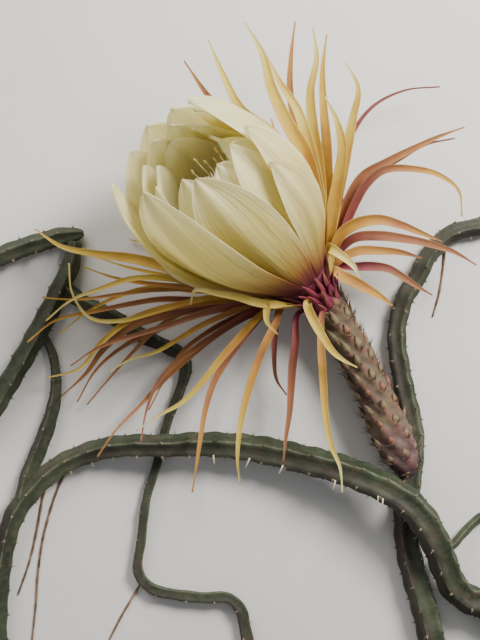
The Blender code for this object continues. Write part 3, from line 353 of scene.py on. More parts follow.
def axis_rings(profile, sides, ripple=0.0, ripples=0):
    """Rings round the flower's axis from (distance along, radius) pairs."""
    along, radius = np.array(profile).T
    reach = radius[:, None] * (1 + ripple * np.cos(ripples * turns(sides)))
    return rings_round(RECEPTACLE + along[:, None] * AXIS, reach, turns(sides), SIDE[None], FRONT[None])


def leaf_line(radius, along, lean, radial):
    """(centres, normals) of a leaf that stands on the flower's axis and leans out in one direction."""
    centres = RECEPTACLE + along[:, None] * AXIS + radius[:, None] * radial
    return centres, np.cos(lean)[:, None] * radial - np.sin(lean)[:, None] * AXIS


def sheet(centres, half, q, across, rise, normals):
    """Rows of points across a leaf: q of the half width to the side, and rise above its middle line."""
    across, normals = np.atleast_2d(across)[:, None], np.atleast_2d(normals)[:, None]
    return centres[:, None] + (half[:, None] * q)[..., None] * across + rise[..., None] * normals


# ------------------------------ building meshes


def link(obj):
    bpy.context.scene.collection.objects.link(obj)


class Shape:
    """Points in millimetres, faces, and for each point the place that the materials read."""

    def __init__(self):
        self.points, self.places, self.count = [], [], 0
        self.quads, self.triangles = [], []  # each a list of (faces, finish)

    def add(self, points, places):
        first = self.count
        self.points.append(points.reshape(-1, 3))
        self.places.append(places.reshape(-1, 3))
        self.count += len(self.points[-1])
        return first

    def skin(self, rings, along=None, across=0.0, tone=0.0, finish=0, caps=(True, True)):
        """A closed tube over rings, an array of (rings, points round, 3), with the place of each point.

        Along runs from 0 to 1 over the rings, unless it is given as one number or one for each ring.
        """
        n, m = rings.shape[:2]
        along = np.linspace(0, 1, n) if along is None else along
        values = (np.reshape(along, (-1, 1)), across, tone)
        places = np.stack([np.broadcast_to(value, (n, m)) for value in values], axis=-1)
        first = self.add(rings, places)
        k, j = np.meshgrid(np.arange(n - 1), np.arange(m), indexing="ij")
        a, b = first + k * m + j, first + k * m + (j + 1) % m
        self.quads.append((np.stack([a, a + m, b + m, b], axis=-1).reshape(-1, 4), finish))
        around = np.arange(m)
        for wanted, ring, turn in ((caps[0], 0, 1), (caps[1], n - 1, -1)):
            if wanted:
                middle = self.add(rings[ring].mean(axis=0), places[ring].mean(axis=0))
                start = first + ring * m
                fan = np.stack([start + around, start + (around + 1) % m, np.full(m, middle)], axis=-1)
                self.triangles.append((fan[:, ::turn], finish))

    def bract(self, centres, half, q, across, normals, dome, thickness, along, tone, finish=0):
        """A domed leaf of even thickness on its middle line."""
        top = sheet(centres, half, q, across, dome * half[:, None] * (1 - q**2), normals)
        bottom = top[:, ::-1] - thickness * np.atleast_2d(normals)[:, None]
        self.skin(np.concatenate([top, bottom], axis=1), along, np.concatenate([q, q[::-1]]), tone, finish)

    def piece(self, name, node, slot, *finishes):
        """One smooth-shaded object of it, in place of the CAD node."""
        mesh = bpy.data.meshes.new(name)
        groups = self.quads + self.triangles
        faces = [face for rows, _ in groups for face in rows.tolist()]
        mesh.from_pydata(np.concatenate(self.points) * MM, [], faces)
        finish = np.concatenate([np.full(len(rows), number) for rows, number in groups])
        mesh.polygons.foreach_set("material_index", finish)
        place = mesh.attributes.new("place", "FLOAT_VECTOR", "POINT")
        place.data.foreach_set("vector", np.concatenate(self.places).ravel())
        for key in finishes:
            mesh.materials.append(FINISH[key])
        mesh.shade_smooth()
        obj = bpy.data.objects.new(name, mesh)
        link(obj)
        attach(obj, "root")
        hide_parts(node)


def hair(
    shape, foot, way, length, radius, bend=(0, 0, 0), sides=3, steps=3, tone=0.0, finish=0, taper=0.92
):
    """A tapered hair, spine or rootlet from foot, which bends towards bend by its tip."""
    share = np.linspace(0, 1, steps + 1)[:, None]
    centres = foot + length * share * way + length * share**2 * np.array(bend)
    rings = tube_rings(centres, radius * (1 - taper * share[:, 0]), sides, free=True)
    shape.skin(rings, tone=tone, finish=finish)


# ------------------------------ materials


class Finish:
    """One procedural material, with short calls for its nodes.

    Its patterns follow the position (where) and the point's place: along and across its leaf or stem,
    and its tone.
    """

    def __init__(self, name, roughness=0.5, specular=0.5):
        self.material = bpy.data.materials.new(name)
        self.material.use_nodes = True
        self.tree = self.material.node_tree
        self.shader = self.tree.nodes["Principled BSDF"]
        self.shader.inputs["Roughness"].default_value = roughness
        self.shader.inputs["Specular IOR Level"].default_value = specular
        found = self.node("Attribute", attribute_name="place")
        self.along, self.across, self.tone = self.node("SeparateXYZ", {0: found.outputs["Vector"]}).outputs
        self.where = self.node("TexCoord").outputs["Object"]

    def node(self, kind, values=(), **settings):
        made = self.tree.nodes.new("ShaderNode" + kind)
        for key, value in settings.items():
            setattr(made, key, value)
        for key, value in dict(values).items():
            self.put(made.inputs[key], value)
        return made

    def put(self, socket, value):
        if isinstance(value, bpy.types.NodeSocket):
            self.tree.links.new(value, socket)
        elif socket.type == "RGBA" and len(value) == 3:
            socket.default_value = (*value, 1)
        else:
            socket.default_value = value

    def noise(self, scale, detail=3.0, roughness=0.55, at=None):
        at = self.where if at is None else at
        values = {"Vector": at, "Scale": scale, "Detail": detail, "Roughness": roughness}
        return self.node("TexNoise", values).outputs["Fac"]

    def streaks(self, along_scale, across_scale, scale, detail=3.0, roughness=0.55):
        """Noise drawn out along a leaf, different for each tone."""
        along, across = self.times(self.along, along_scale), self.times(self.across, across_scale)
        at = self.node("CombineXYZ", {0: along, 1: across, 2: self.tone}).outputs[0]
        return self.noise(scale, detail, roughness, at)

    def math(self, operation, a, b=0.0):
        return self.node("Math", {0: a, 1: b}, operation=operation).outputs[0]

    def times(self, a, b):
        return self.math("MULTIPLY", a, b)

    def edge(self):
        """0 on the middle line of a leaf and 1 at both its edges."""
        return self.math("ABSOLUTE", self.across)

    def span(self, value, low, high, first=0.0, last=1.0):
        """First at low and below, last at high and above."""
        return self.node("MapRange", {0: value, 1: low, 2: high, 3: first, 4: last}, clamp=True).outputs[0]

    def ramp(self, value, *stops):
        """A colour from stops of (value, red, green, blue)."""
        made = self.node("ValToRGB", {0: value})
        elements = made.color_ramp.elements
        while len(elements) < len(stops):
            elements.new(0.5)
        for element, (at, *colour) in zip(elements, stops):
            element.position = at
            element.color = (*colour, 1)
        return made.outputs["Color"]

    def mix(self, share, a, b):
        return self.node("Mix", {0: share, 6: a, 7: b}, data_type="RGBA").outputs[2]

    def tint(self, colour, *rows):
        """The colour with a tint from each row: value, low, high, shares at low and high, and the tint."""
        for value, low, high, first, last, *tint in rows:
            colour = self.mix(self.span(value, low, high, first, last), colour, tint)
        return colour

    def bump(self, height, distance, strength=1.0, normal=None):
        values = {"Height": height, "Distance": distance * MM, "Strength": strength}
        if normal is not None:
            values["Normal"] = normal
        return self.node("Bump", values).outputs["Normal"]

    def surface(self, colour, normal=None, roughness=None):
        for name, value in (("Base Color", colour), ("Normal", normal), ("Roughness", roughness)):
            if value is not None:
                self.put(self.shader.inputs[name], value)
        return self.material

    def see_light_through(self, colour, share, normal):
        """Mixes a translucent shader in, as in a thin leaf."""
        through = self.node("BsdfTranslucent", {"Color": colour, "Normal": normal})
        mixed = self.node("MixShader", {0: share, 1: self.shader.outputs[0], 2: through.outputs[0]})
        self.put(self.tree.nodes["Material Output"].inputs["Surface"], mixed.outputs[0])
        return self.material


def stem_finish():
    """Waxy dull green skin: a pale line on each rib, partly painted highlight, corky scars, a purplish brown
    tint with painted shade on the side away from the light, and fine grain.
    """
    f = Finish("stem_green", specular=0.28)
    broad = f.noise(55, 4)
    fine = f.noise(420, 5, 0.65)
    green = f.ramp(broad, (0.3, 0.016, 0.023, 0.012), (0.52, 0.031, 0.042, 0.021), (0.72, 0.064, 0.08, 0.043))
    scarred = f.tint(
        green, (fine, 0.45, 0.75, 0.0, 0.35, 0.095, 0.108, 0.064),
        (f.noise(130, 4, 0.7), 0.53, 0.70, 0.0, 0.7, 0.078, 0.048, 0.032),
    )
    # painted shade: the dark purplish brown grows on the side away from the light, over the stems' own tint
    flush_and_shade = f.times(f.tone, f.span(broad, 0.3, 0.6, 1.0, 0.6))
    flushed_and_shaded = f.mix(flush_and_shade, scarred, (0.042, 0.023, 0.025))
    # pale line along each rib's crest: partly the rib's own paler edge, partly a painted highlight
    line = f.times(f.span(f.across, 0.88, 0.99), f.span(f.noise(260), 0.36, 0.6, 0.05, 0.4))
    normal = f.bump(fine, 0.25, 0.8, f.bump(f.noise(150, 4), 0.5, 0.6))
    return f.surface(f.mix(line, flushed_and_shaded, (0.19, 0.21, 0.12)), normal, f.span(fine, 0.3, 0.7, 0.46, 0.70))


def cut_finish():
    """Cut end of a stem: pale green flesh, a woody ring and darker rim."""
    f = Finish("cut_flesh", roughness=0.45)
    ragged = f.math("ADD", f.across, f.span(f.noise(700), 0, 1, -0.05, 0.05))
    colour = f.ramp(
        ragged, (0.0, 0.42, 0.47, 0.27), (0.2, 0.36, 0.42, 0.20), (0.27, 0.50, 0.44, 0.26),
        (0.36, 0.30, 0.38, 0.16), (0.8, 0.20, 0.29, 0.11), (0.97, 0.07, 0.10, 0.04),
    )
    return f.surface(colour, f.bump(f.noise(900, 4), 0.25))


def wool_finish():
    """Felt and spines of an areole, and the rootlets, from brown to cream."""
    f = Finish("areole_wool", roughness=0.85, specular=0.2)
    fine = f.noise(1500)
    colour = f.ramp(f.tone, (0.0, 0.075, 0.055, 0.035), (0.5, 0.22, 0.175, 0.11), (1.0, 0.80, 0.74, 0.52))
    return f.surface(f.tint(colour, (fine, 0.3, 0.7, 0.0, 0.4, 0.13, 0.09, 0.05)), f.bump(fine, 0.2))


def root_finish():
    f = Finish("root_brown", roughness=0.85, specular=0.2)
    coarse = f.noise(160, 4)
    colour = f.ramp(coarse, (0.35, 0.085, 0.045, 0.026), (0.55, 0.19, 0.105, 0.055), (0.75, 0.33, 0.22, 0.12))
    return f.surface(colour, f.bump(f.noise(900, 4), 0.3))


def tube_finish():
    """Scaly tube: olive and pinkish brown, purple towards the ovary, with pale flecks."""
    f = Finish("tube_brown", roughness=0.7, specular=0.25)
    mottled = f.ramp(
        f.noise(90, 4), (0.30, 0.060, 0.043, 0.034), (0.45, 0.105, 0.078, 0.052),
        (0.58, 0.135, 0.105, 0.062), (0.72, 0.20, 0.175, 0.105),
    )
    foot = f.mix(f.span(f.noise(170), 0.35, 0.65), (0.075, 0.032, 0.040), (0.14, 0.095, 0.088))
    colour = f.mix(f.span(f.along, 0.12, 0.34), foot, mottled)
    reddened = f.times(f.tone, f.span(f.noise(210), 0.38, 0.62, 0.05, 0.55))
    return f.surface(f.mix(reddened, colour, (0.20, 0.060, 0.040)), f.bump(f.noise(500, 4), 0.4, 0.8))


def scale_finish():
    """Bracts of the tube: red-brown at the tip, olive at the foot."""
    f = Finish("tube_scale", roughness=0.6, specular=0.3)
    fine = f.noise(600)
    colour = f.ramp(f.tone, (0.0, 0.17, 0.155, 0.075), (0.6, 0.21, 0.145, 0.075), (1.0, 0.24, 0.075, 0.045))
    colour = f.tint(
        colour, (f.edge(), 0.45, 1.0, 0.0, 0.75, 0.085, 0.050, 0.032),
        (f.along, 0.55, 1.0, 0.0, 0.85, 0.10, 0.042, 0.028), (fine, 0.45, 0.72, 0.0, 0.35, 0.34, 0.27, 0.15),
    )
    return f.surface(colour, f.bump(fine, 0.25))


def bristle_finish():
    """Hairs of the tube, from dark brown to grey."""
    f = Finish("tube_bristle", roughness=0.8, specular=0.2)
    stops = (0.0, 0.045, 0.028, 0.022), (0.55, 0.14, 0.095, 0.07), (1.0, 0.42, 0.36, 0.30)
    return f.surface(f.ramp(f.tone, *stops))


def sepal_finish():
    """Thin fleshy sepals: cream over amber to salmon and brown, red at the foot, with paler edges."""
    f = Finish("sepal_amber", specular=0.3)
    streak = f.streaks(3.0, 4.5, 2.4, 4)
    wander = f.math("ADD", f.span(f.noise(60), 0.3, 0.7, -0.09, 0.09), f.span(streak, 0.3, 0.7, -0.07, 0.07))
    colour = f.ramp(
        f.math("ADD", f.tone, wander), (0.0, 0.86, 0.79, 0.42), (0.14, 0.80, 0.67, 0.19),
        (0.28, 0.72, 0.51, 0.080), (0.44, 0.62, 0.32, 0.054), (0.62, 0.42, 0.172, 0.070),
        (0.80, 0.28, 0.102, 0.074), (1.0, 0.14, 0.050, 0.032),
    )
    colour = f.tint(colour, (f.edge(), 0.62, 1.0, 0.0, 0.28, 0.88, 0.70, 0.26))
    reach = f.math("ADD", f.times(f.math("POWER", f.tone, 3.0), 1.35), 0.10)
    foot = f.span(f.math("DIVIDE", f.along, reach), 0.15, 1.0, 0.94, 0.0)
    red = f.mix(f.span(streak, 0.35, 0.65), (0.24, 0.021, 0.092), (0.41, 0.068, 0.086))
    colour = f.mix(foot, colour, red)
    normal = f.bump(f.streaks(1.5, 9.0, 2.0), 0.35, 0.7, f.bump(f.noise(500), 0.12, 0.5))
    f.surface(colour, normal)
    return f.see_light_through(f.mix(0.35, colour, (0.74, 0.62, 0.44)), 0.30, normal)


def collar_finish():
    """Purple-red ring that the sepals stand on."""
    f = Finish("collar_red", specular=0.35)
    coarse = f.noise(180, 4)
    colour = f.ramp(coarse, (0.3, 0.10, 0.010, 0.044), (0.52, 0.18, 0.018, 0.066), (0.74, 0.28, 0.050, 0.075))
    return f.surface(colour, f.bump(f.noise(600), 0.3))


def petal_finish():
    """Thin cream petals: red and yellow foot, green midrib, white edge and tip, fine veins, lit through."""
    f = Finish("petal_cream", roughness=0.46, specular=0.32)
    edge = f.edge()
    veins = f.streaks(1.2, 16.0, 2.2, 4, 0.6)
    cream = f.mix(f.span(f.noise(42), 0.35, 0.65), (0.86, 0.79, 0.45), (0.91, 0.87, 0.60))
    # yellower with the tone; on the outer petals the tone carries painted shade, highest away from the light
    cream = f.mix(f.times(f.tone, 0.8), cream, (0.92, 0.80, 0.34))
    white = f.math("MAXIMUM", f.span(edge, 0.6, 0.97, 0.0, 0.6), f.span(f.along, 0.72, 1.0, 0.0, 0.6))
    cream = f.mix(white, cream, (0.96, 0.95, 0.80))
    rib = f.times(f.span(edge, 0.0, 0.30, 0.55, 0.0), f.span(f.along, 0.2, 0.95, 1.0, 0.0))
    cream = f.mix(rib, cream, (0.72, 0.72, 0.22))
    from_foot = f.math("ADD", f.along, f.span(veins, 0.3, 0.7, -0.07, 0.07))
    cream = f.tint(
        cream, (from_foot, 0.18, 0.86, 0.95, 0.0, 0.68, 0.55, 0.07),
        (from_foot, 0.15, 0.53, 0.94, 0.0, 0.58, 0.28, 0.034),
        (from_foot, 0.11, 0.36, 0.97, 0.0, 0.36, 0.058, 0.050),
        (f.along, 0.07, 0.27, 0.96, 0.0, 0.21, 0.012, 0.072), (veins, 0.52, 0.72, 0.0, 0.2, 0.76, 0.70, 0.34),
    )
    rough = f.bump(f.noise(110, 4), 0.6, 0.4)
    normal = f.bump(veins, 0.34, 0.6, f.bump(f.streaks(2.2, 5.0, 1.6), 2.0, 0.45, rough))
    f.surface(cream, normal)
    return f.see_light_through(f.mix(0.5, cream, (0.98, 0.94, 0.62)), 0.6, normal)


def stamen_finish():
    """Pale threads, and golden pollen where the tone is 1."""
    f = Finish("stamen_yellow", roughness=0.6, specular=0.3)
    fine = f.noise(1400)
    thread = f.mix(f.along, (0.80, 0.80, 0.42), (0.94, 0.90, 0.66))
    pollen = f.mix(f.span(fine, 0.35, 0.65), (0.78, 0.56, 0.16), (0.93, 0.79, 0.40))
    return f.surface(f.mix(f.tone, thread, pollen), f.bump(fine, 0.2))


def pistil_finish():
    f = Finish("pistil_cream", specular=0.35)
    fine = f.noise(1200)
    colour = f.mix(f.along, (0.74, 0.76, 0.36), (0.90, 0.88, 0.60))
    return f.surface(f.tint(colour, (fine, 0.4, 0.7, 0.0, 0.4, 0.95, 0.92, 0.74)), f.bump(fine, 0.2))


def floor_finish():
    f = Finish("floor_pale", roughness=0.9, specular=0.15)
    return f.surface(f.mix(f.span(f.noise(9), 0.3, 0.7), (0.62, 0.60, 0.57), (0.66, 0.645, 0.615)))


FINISH = {
    "stem": stem_finish(), "cut": cut_finish(), "wool": wool_finish(), "root": root_finish(),
    "tube": tube_finish(), "scale": scale_finish(), "bristle": bristle_finish(), "sepal": sepal_finish(),
    "collar": collar_finish(), "petal": petal_finish(), "stamen": stamen_finish(), "pistil": pistil_finish(),
}

# ------------------------------ stems

STEM_STEP = 1.2
POINTS_PER_RIB = 10
CREST_SHARPNESS = 1.7
# shares of the outline, from the rim of a cut end inwards
CUT_RINGS = np.array((1.0, 0.96, 0.8, 0.6, 0.38, 0.2))
# the felt's radius and the spines of an areole, by the stem's ribs
AREOLES = {5: (0.6, 4), 4: (0.5, 2)}
SURFACE_CLEARANCE = 1.0  # no areole on a rib that lies lower
SHADED_FLUSH_SIDE = np.array((-0.78, -0.62, 0.0))  # the side away from the light, painted darker there as shade over the stems' purplish brown tint
# short pale rootlets high on the -y side of the arching stem, at these x
ROOTLETS = (-95.1, -76.4, -60.4, -34.6, -15.8, -13.6)
ROOTLET_SIDE = unit((0.0, -0.62, 0.78))


def stem_surface(name):
    """Centres, rings, crest shares, distance travelled and areole spacing of a ribbed stem."""
    ribs, step, tip, _, _ = STEMS[name]
    route = smooth_route(ROUTES[name], STEM_STEP)
    centres, radii = route[:, :3], route[:, 3]
    _, sides, tops = frames_along(centres)
    travelled = travelled_along(centres)
    spacing = 2 * travelled[-1] / (len(smooth_route(ROUTES[name], step)) - 1)
    if tip:
        left = np.clip((travelled[-1] - travelled + 0.6) / TIP_LENGTH, 0, 1)
        radii = radii * np.sqrt(1 - (1 - left) ** 2)
    around = turns(ribs * POINTS_PER_RIB)
    angles = ROLL + travelled[:, None] * TWIST_PER_MM + pi / 2 + around
    crest = (0.5 + 0.5 * np.cos(ribs * around)) ** CREST_SHARPNESS
    swell = 1 + CREST_RISE * np.cos(2 * pi * travelled / spacing)
    reach = radii[:, None] * (RIB_VALLEY + (swell[:, None] - RIB_VALLEY) * crest)
    rings = rings_round(centres, reach, angles, sides, tops)
    rings[..., 2] = np.maximum(rings[..., 2], 0.0)
    return centres, rings, crest, travelled, spacing


def cut_face(shape, ring, at_foot):
    """The flat cut end of a stem, as rings drawn in to its middle."""
    middle = ring.mean(axis=0)
    shares = (CUT_RINGS[::-1] if at_foot else CUT_RINGS)[:, None]
    rings = middle + shares[:, None] * (ring - middle)
    shape.skin(rings, 0.0, shares, finish=1, caps=(at_foot, not at_foot))


def add_areole(shape, rng, crest_point, outward, tangent, size, spines):
    """A pad of felt on the rib with a few short spines."""
    rise = np.array([-0.3, 0.25, 0.62, 0.72]) * size
    width = np.array([1.0, 0.95, 0.6, 0.18]) * size
    across = np.cross(tangent, outward)
    centres = crest_point + rise[:, None] * outward
    rings = rings_round(centres, width[:, None], turns(7), across[None], 1.25 * tangent[None])
    shape.skin(rings, tone=rng.uniform(0, 0.55), finish=2)
    foot = crest_point + 0.3 * size * outward
    for _ in range(spines):
        way = unit(outward + 0.75 * rng.uniform(-1, 1) * across + 0.75 * rng.uniform(-1, 1) * tangent)
        length = rng.uniform(0.8, 2.3)
        if foot[2] + length * way[2] > 0.3:
            hair(shape, foot, way, length, 0.13, tone=rng.uniform(0.2, 0.9), finish=2, steps=2)


def add_areoles(shape, rng, name, centres, rings, travelled, spacing):
    """Areoles in rows along the ribs, half a row further on every other rib."""
    ribs = STEMS[name][0]
    size, spines = AREOLES[ribs]
    tangents, _, _ = frames_along(centres)
    for row in range(1, int(travelled[-1] / spacing)):
        for rib in range(ribs):
            k = int(np.searchsorted(travelled, (row + 0.5 * (rib % 2)) * spacing))
            bare = name == "side_shoot" and rib % 2
            if k >= len(rings) - 1 or bare:
                continue
            point = rings[k, rib * POINTS_PER_RIB]
            if point[2] > SURFACE_CLEARANCE:
                add_areole(shape, rng, point, unit(point - centres[k]), tangents[k], size, spines)


def add_rootlets(shape, rng, centres, rings):
    for x in ROOTLETS:
        k = int(np.argmin(np.abs(centres[:, 0] - x)))
        outward = unit(rings[k] - centres[k])
        j = int(np.argmax(outward @ ROOTLET_SIDE))
        foot = rings[k, j] - 0.3 * outward[j]
        way = unit((rng.uniform(-0.5, 0.1), -0.9, rng.uniform(0.2, 0.4)))
        bend = (rng.uniform(-0.2, 0.3), 0.0, -0.5)
        length = rng.uniform(4.4, 6.0)
        hair(shape, foot, way, length, 0.45, bend, sides=7, steps=8, tone=1.0, finish=2, taper=0.4)


def make_stems():
    rng = random.Random(5)
    for name, (_, _, _, (foot_cut, end_cut), flush_and_shade) in STEMS.items():
        shape = Shape()
        centres, rings, crest, travelled, spacing = stem_surface(name)
        # painted shade: darker purplish brown on the side that faces away from the light
        facing = (unit(rings - centres[:, None]) * SHADED_FLUSH_SIDE).sum(axis=-1)
        tone = flush_and_shade * np.clip(0.45 + 0.8 * facing, 0.0, 1.0)
        shape.skin(rings, travelled / spacing, crest, tone, caps=(not foot_cut, not end_cut))
        if foot_cut:
            cut_face(shape, rings[0], True)
        if end_cut:
            cut_face(shape, rings[-1], False)
        add_areoles(shape, rng, name, centres, rings, travelled, spacing)
        if name == "stem_arching":
            add_rootlets(shape, rng, centres, rings)
        shape.piece(name + "_skin", name, "stem_green", "stem", "cut", "wool")


ROOT_STEP = 0.8


def make_aerial_roots():
    for number, (name, points) in enumerate(AERIAL_ROOTS.items()):
        shape = Shape()
        centres = smooth_route(points, ROOT_STEP)
        rng = random.Random(20 + number)
        phase = rng.uniform(0, 6)
        s = np.arange(len(centres)) * ROOT_STEP
        radii = ROOT_RADIUS * (0.92 + 0.10 * np.sin(0.9 * s + phase) + 0.05 * np.sin(2.3 * s))
        radii *= 1 - 0.35 * np.linspace(0, 1, len(s)) ** 3
        rings = tube_rings(centres, radii, 9)
        rings[..., 2] = np.maximum(rings[..., 2], 0.0)
        shape.skin(rings)
        for k in range(6, len(s) - 2, 9):
            way = unit((rng.uniform(-1, 1), rng.uniform(-1, 1), rng.uniform(0.0, 0.3)))
            hair(shape, centres[k], way, rng.uniform(0.9, 1.8), 0.12)
        shape.piece(name + "_bark", name, "root_brown", "root")


# ------------------------------ flower tube

TUBE_STEP = 0.8
TUBE_SIDES = 60
SCALE_ROWS = 12
SCALES_PER_ROW = 7
ROW_SHIFT = 0.38  # of the space between two scales, from each row to the next
OVARY_SHARE = 0.25  # of the tube's length
SCALE_ACROSS = np.array([1.0, 0.5, 0.0, -0.5, -1.0])


def make_flower_tube():
    rng = random.Random(8)
    shape = Shape()
    route = smooth_route(FLOWER_TUBE, TUBE_STEP)
    centres, radii = route[:, :3], route[:, 3]
    tangents, sides, tops = frames_along(centres)
    share = np.linspace(0, 1, len(centres))
    # podaria: low swellings under the scales, in offset rows
    row = share[:, None] * SCALE_ROWS
    wave = np.cos(SCALES_PER_ROW * turns(TUBE_SIDES) - 2 * pi * ROW_SHIFT * row)
    swelling = (0.42 * np.sin(pi * row) ** 2 + 0.25) * wave
    reach = radii[:, None] + swelling * np.minimum(1, 6 * share)[:, None]
    rings = rings_round(centres, reach, turns(TUBE_SIDES), sides, tops)
    shape.skin(rings, tone=np.clip(0.5 + swelling, 0, 1))
    for number in range(SCALE_ROWS):
        at = (number + 0.5) / SCALE_ROWS
        k = int(at * (len(centres) - 1))
        for j in range(SCALES_PER_ROW):
            turn = (j + ROW_SHIFT * (number + 0.5)) / SCALES_PER_ROW
            angle = 2 * pi * turn + rng.uniform(-0.08, 0.08)
            outward = cos(angle) * sides[k] + sin(angle) * tops[k]
            foot = centres[k] + radii[k] * outward
            length = (3.8 + 4.4 * min(1.0, 1.5 * at)) * rng.uniform(0.8, 1.15)
            add_scale(shape, rng, foot, tangents[k], outward, length)
            add_bristles(shape, rng, foot, tangents[k], outward, at > OVARY_SHARE)
    shape.piece("flower_tube_skin", "flower_tube", "tube_brown", "tube", "scale", "bristle")


def add_scale(shape, rng, foot, along, outward, length):
    """A pointed bract: it lies forward along the tube and its tip curls out."""
    u = np.linspace(0, 1, 7)
    curl = rng.uniform(0.15, 0.42) * u**2.4
    hump = 0.95 * np.sin(pi * np.minimum(1, u * 1.4) / 1.4)
    centres = foot - 0.9 * outward + length * (u[:, None] * along + curl[:, None] * outward)
    centres += hump[:, None] * outward
    half = 1.9 * np.sin(pi * (0.26 + 0.74 * u)) ** 0.9 * rng.uniform(0.85, 1.1) + 0.06
    across, tone = np.cross(along, outward), rng.uniform(0, 1)
    shape.bract(centres, half, SCALE_ACROSS, across, outward, 0.55, 0.35, along=u, tone=tone, finish=1)


def add_bristles(shape, rng, foot, along, outward, past_ovary):
    """Stiff hairs in the axil of a scale, more and paler ones on the ovary."""
    across = np.cross(along, outward)
    for _ in range(12 if past_ovary else 16):
        spread = rng.uniform(-1, 1)
        way = unit(outward + rng.uniform(-0.1, 0.9) * along + 0.8 * spread * across)
        bend = 0.35 * rng.uniform(-1, 1) * across + 0.25 * along
        start = foot + rng.uniform(-0.7, 0.7) * across + rng.uniform(-1.2, 1.2) * along - 0.3 * outward
        length = rng.uniform(2.2, 5.8)
        tone = rng.uniform(0, 0.5) if past_ovary else rng.uniform(0.1, 0.9)
        hair(shape, start, way, length, rng.uniform(0.11, 0.19), bend, steps=4, tone=tone, finish=2)


# ------------------------------ sepals

SEPAL_ACROSS = np.array([1.0, 0.86, 0.6, 0.3, 0.0, -0.3, -0.6, -0.86, -1.0])
SEPAL_UNDER = np.array([-0.75, -0.4, 0.0, 0.4, 0.75])
SURFACE_GAP = 0.9  # under the lowest points of a sepal
# distance along the axis, radius, count and length of the bracts on the collar
BRACT_ROWS = [(-12.5, 8.7, 13, 11.0), (-8.5, 9.1, 15, 13.0), (-4.5, 9.4, 17, 15.0)]
# stems without spines in the CAD model
SPINELESS = ("stem_trailing", "branch_low_left", "side_shoot")


def start_lean(turn):
    return START_LEAN - LOPSIDED * cos(radians(turn - UPRIGHT_TURN))


def cup_profile(length, foot_radius, girth, leans, steps=96):
    """(radius, distance along the axis, lean) along a petal, whose lean goes from the first to the last."""
    turned_in = np.maximum(0.0, (np.arange(steps + 1) / steps - 0.25) / 0.75) ** 1.15
    lean = np.radians(leans[0] + (leans[1] - leans[0]) * turned_in)
    radius = summed(foot_radius, np.sin(lean) * girth * length / steps)
    return np.stack([radius, summed(-0.5, np.cos(lean) * length / steps), lean], axis=1)


def cup_side(turn):
    """The outer face of the cup at this turn."""
    return cup_profile(CUP_LENGTH, WHORLS[0][0], 1.0, (start_lean(turn), END_LEAN), round(CUP_LENGTH))


def stem_obstacles():
    """(x, y, top, radius) along every stem."""
    rows = []
    for name, points in ROUTES.items():
        spine = 0.0 if name in SPINELESS else SPINE_LENGTH
        for x, y, z, radius in smooth_route(points, 4.0):
            rows.append((x, y, z + (1 + CREST_RISE) * radius + spine, radius))
    return rows


OBSTACLES = stem_obstacles()
TUBE_ROUTE = smooth_route(FLOWER_TUBE, 3.0)[6:]


def kept_clear(point, half_width):
    """The point pushed off the cup, the tube, the stems and the surface, as in the part."""
    offset = point - RECEPTACLE
    along = offset.dot(AXIS)
    radial = offset - along * AXIS
    cup = cup_side(degrees(atan2(radial.dot(FRONT), radial.dot(SIDE))))[::3]
    nearest = min(cup, key=lambda row: abs(row[1] - along))
    room = nearest[0] + 3.4 + 0.5 * half_width
    if -2 < along < cup[-1][1] and np.linalg.norm(radial) < room:
        point = RECEPTACLE + along * AXIS + unit(radial) * room
    for x, y, z, radius in TUBE_ROUTE:
        away = point - (x, y, z)
        room = radius + 1.2 + half_width
        if np.linalg.norm(away) < room:
            point = np.array((x, y, z)) + unit(away) * room
    floor = SEPAL_DEPTH + 0.2
    for x, y, top, radius in OBSTACLES:
        gap = hypot(point[0] - x, point[1] - y) - radius - half_width
        floor = max(floor, top + SEPAL_DEPTH + 0.8 - 0.7 * max(0.0, gap))
    return np.array((point[0], point[1], max(point[2], floor)))


def sepal_half_width(x, widest):
    rise = 0.5 + 0.5 * sin(pi / 2 * min(1.0, x / 0.45))
    return max(0.4, widest * rise * (1 - x**2.6) ** 0.85)


def fine_half_width(x, widest):
    """The same, drawn out to a fine tip."""
    tip = 0.12 + 0.28 * max(0.0, 1 - 8 * max(0.0, x - 0.88))
    half = max(tip, sepal_half_width(min(x, 1.0), widest))
    return min(half, 0.35 + widest * 9 * max(0.0, 1.002 - x))


def sepal_foot(first_point):
    """The sepal's foot on the collar, and the way out from the axis there."""
    offset = np.array(first_point) - RECEPTACLE
    forward = offset.dot(AXIS)
    radial = unit(offset - forward * AXIS)
    along = min(-4.5, max(-11.0, -8.0 + 0.2 * forward))
    share = (along - COLLAR_FOOT) / (COLLAR_TOP - COLLAR_FOOT)
    radius = COLLAR_RADII[0] + (COLLAR_RADII[1] - COLLAR_RADII[0]) * share
    return RECEPTACLE + along * AXIS + (radius - 1.4) * radial, radial


def sepal_spine(widest, points):
    """(middle, sides, share of the length) at small steps along the part's own route."""
    foot, radial = sepal_foot(points[0])
    last = len(points) + 1
    route = smooth_route([foot, *points], 1.0)
    centres = [route[0]]
    for k in range(1, last + 1):
        station = route[round(k * (len(route) - 1) / last)]
        centres.append(kept_clear(station, sepal_half_width(k / last, widest)))
    tangential = np.cross(AXIS, radial)
    rows = []
    for k, centre in enumerate(centres):
        tangent = unit(centres[min(k + 1, last)] - centres[max(k - 1, 0)])
        level = unit(np.cross(tangent, UP))
        turn = min(1.0, k / 3)
        side = (1 - turn) * (tangential if tangential.dot(level) > 0 else -tangential) + turn * level
        rows.append((*centre, *unit(side - side.dot(tangent) * tangent), k / last))
    fine = smooth_route(rows, 1.3)
    return fine[:, :3], fine[:, 3:6], fine[:, 6]


